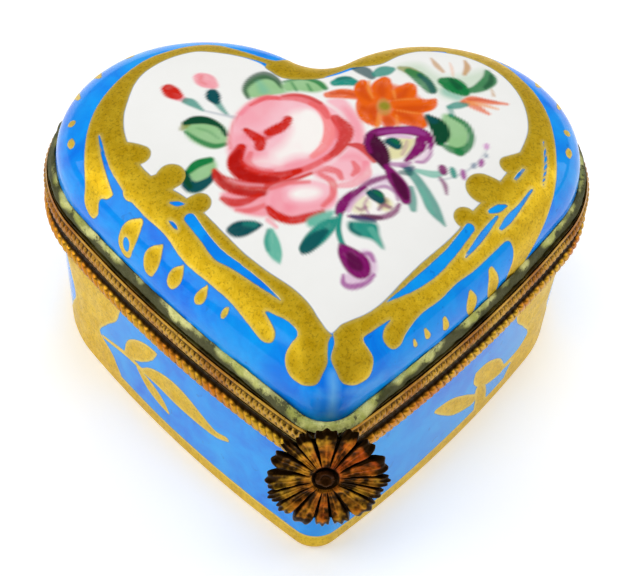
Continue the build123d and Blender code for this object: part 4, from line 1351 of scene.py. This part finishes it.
def build_object():
    lid_glaze = painted_porcelain("painted_porcelain_lid", colour(0, 110, 238), colour(0, 150, 255),
                                  colour(16, 190, 255))
    # The cup's blues are a little lighter and greener than the lid's, partly as painted light for its
    # brighter walls.
    cup_glaze = painted_porcelain("painted_porcelain_cup", colour(0, 118, 234), colour(0, 154, 246),
                                  colour(40, 186, 255))
    rope_brass = aged_brass("rope_brass", (206, 158, 40), (196, 116, 28), (40, 24, 4), crested=True)
    braid_brass = aged_brass("braid_brass", (196, 150, 56), (164, 104, 36), (38, 26, 6), crested=True)
    flower_brass = aged_brass("flower_brass", (196, 148, 40), (196, 84, 22), (40, 24, 6), 0.34,
                              crested=True)
    band_brass = aged_brass("band_brass", (196, 158, 84), (170, 116, 50), (58, 42, 20))
    # The rims' brass is darker than the other brass: painted shade for the dark gap each rim sits in.
    gap_shade_brass = aged_brass("gap_shade_brass", (132, 112, 46), (108, 82, 34), (44, 36, 12))
    hinge_brass = aged_brass("hinge_brass_look", (204, 164, 88), (176, 122, 54), (70, 48, 22), 0.26)
    clasp_brass = aged_brass("clasp_brass_look", (180, 134, 58), (150, 92, 40), (40, 26, 14))
    rivet_brass = aged_brass("rivet_brass", (84, 54, 18), (70, 36, 12), (20, 12, 4), 0.42)
    cement = cement_material("lid_cement_look", True)
    low_cement = cement_material("base_cement_look", False)
    leaf_gap = (leaf_half_width, False)
    tongue_gap = (tongue_half_width, True)
    lid = make_lid_porcelain()
    cup = make_cup_porcelain()
    rope = make_moulding("cup_twisted_rope", "base_rope", rope_height, rope_bulge, twisted_rope, 760,
                         [leaf_gap])
    braid = make_moulding("lid_plaited_braid", "lid_braid", braid_height, braid_bulge, plaited_braid, 900,
                          [leaf_gap, tongue_gap])
    for piece, material, body, node, slot in [
            (lid, lid_glaze, "lid", "lid_shell", "painted_porcelain"),
            (cup, cup_glaze, "base", "base_cup", "painted_porcelain"),
            (rope, rope_brass, "base", "base_rope", "moulding_brass"),
            (braid, braid_brass, "lid", "lid_braid", "moulding_brass"),
            (make_lid_bead(), cement, "lid", "lid_cement", "bedding_cement"),
            (make_flower(), flower_brass, "lid", "clasp_rosette", "clasp_brass"),
            (make_rivet(), rivet_brass, "lid", "rosette_rivet", "clasp_brass")]:
        give_material(piece, material)
        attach(piece, body)
        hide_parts(node)
    finish_nodes(low_cement, "base_cement")
    finish_nodes(band_brass, "inner_collar")
    finish_nodes(gap_shade_brass, "base_rim", "lid_rim")
    finish_nodes(hinge_brass, "hinge_base_leaf", "hinge_lid_leaf", "hinge_tube_left", "hinge_tube_right",
                 "hinge_tube_middle", "hinge_pin")
    finish_nodes(clasp_brass, "catch_stud", "clasp_tongue")


# ---------------------------------------------------------------- the studio

def build_floor():
    half = 1.2
    corners = [(-half, -half, 0), (half, -half, 0), (half, half, 0), (-half, half, 0)]
    mesh = bpy.data.meshes.new("studio_floor")
    mesh.from_pydata(corners, [], [(0, 1, 2, 3)])
    floor = bpy.data.objects.new("studio_floor", mesh)
    bpy.context.scene.collection.objects.link(floor)
    give_material(floor, floor_material())


def add_softbox(name, place, target, size, power, mirrored):
    """A soft light. One that isn't mirrored lights the glaze without showing in it."""
    data = bpy.data.lights.new(name, "AREA")
    data.shape = "RECTANGLE"
    data.size, data.size_y = size
    data.energy = power
    light = bpy.data.objects.new(name, data)
    light.location = place
    light.rotation_euler = (Vector(target) - Vector(place)).to_track_quat("-Z", "Y").to_euler()
    light.visible_glossy = mirrored
    bpy.context.scene.collection.objects.link(light)


def build_lights():
    world = bpy.data.worlds.new("studio")
    world.use_nodes = True
    background = world.node_tree.nodes["Background"]
    background.inputs["Color"].default_value = (1, 1, 1, 1)
    background.inputs["Strength"].default_value = 0.27
    bpy.context.scene.world = world
    middle = (0, 0, 0.014)
    add_softbox("softbox_left", (-0.42, 0.02, 0.26), middle, (0.34, 0.34), 0.74, True)
    add_softbox("softbox_back", (0.12, 0.46, 0.30), middle, (0.5, 0.3), 0.8, False)
    add_softbox("softbox_right", (0.42, 0.10, 0.20), middle, (0.24, 0.30), 0.40, True)
    add_softbox("softbox_top", (0.0, -0.05, 0.55), middle, (0.4, 0.4), 1.15, False)
    add_softbox("softbox_front", (-0.1, -0.5, 0.25), middle, (0.5, 0.3), 0.42, False)


def build_camera():
    """The camera looks down on the box from the front, a little from the left, and slightly tilted."""
    elevation = radians(49.841)
    azimuth = radians(-4.222)
    roll = radians(4.111)
    distance = 186.6
    target = np.array([-0.582, -9.593, 14.0])
    sensor_width = 36.0
    focal_length = 119.0488746
    back = np.array([sin(azimuth) * cos(elevation), -cos(azimuth) * cos(elevation), sin(elevation)])
    level_right = np.array([cos(azimuth), sin(azimuth), 0])
    level_up = np.cross(back, level_right)
    right = cos(roll) * level_right + sin(roll) * level_up
    up = -sin(roll) * level_right + cos(roll) * level_up
    place = (target + back * distance + [0, lobe_line_y, 0]) * MM
    data = bpy.data.cameras.new("camera")
    data.sensor_width = sensor_width
    data.lens = focal_length
    data.clip_start = 0.01
    camera = bpy.data.objects.new("camera", data)
    turn = Matrix((right, up, back)).transposed().to_4x4()
    camera.matrix_world = Matrix.Translation(Vector(place)) @ turn
    bpy.context.scene.collection.objects.link(camera)
    bpy.context.scene.camera = camera


bpy.context.scene.view_settings.view_transform = "Standard"
build_object()
build_floor()
build_lights()
build_camera()
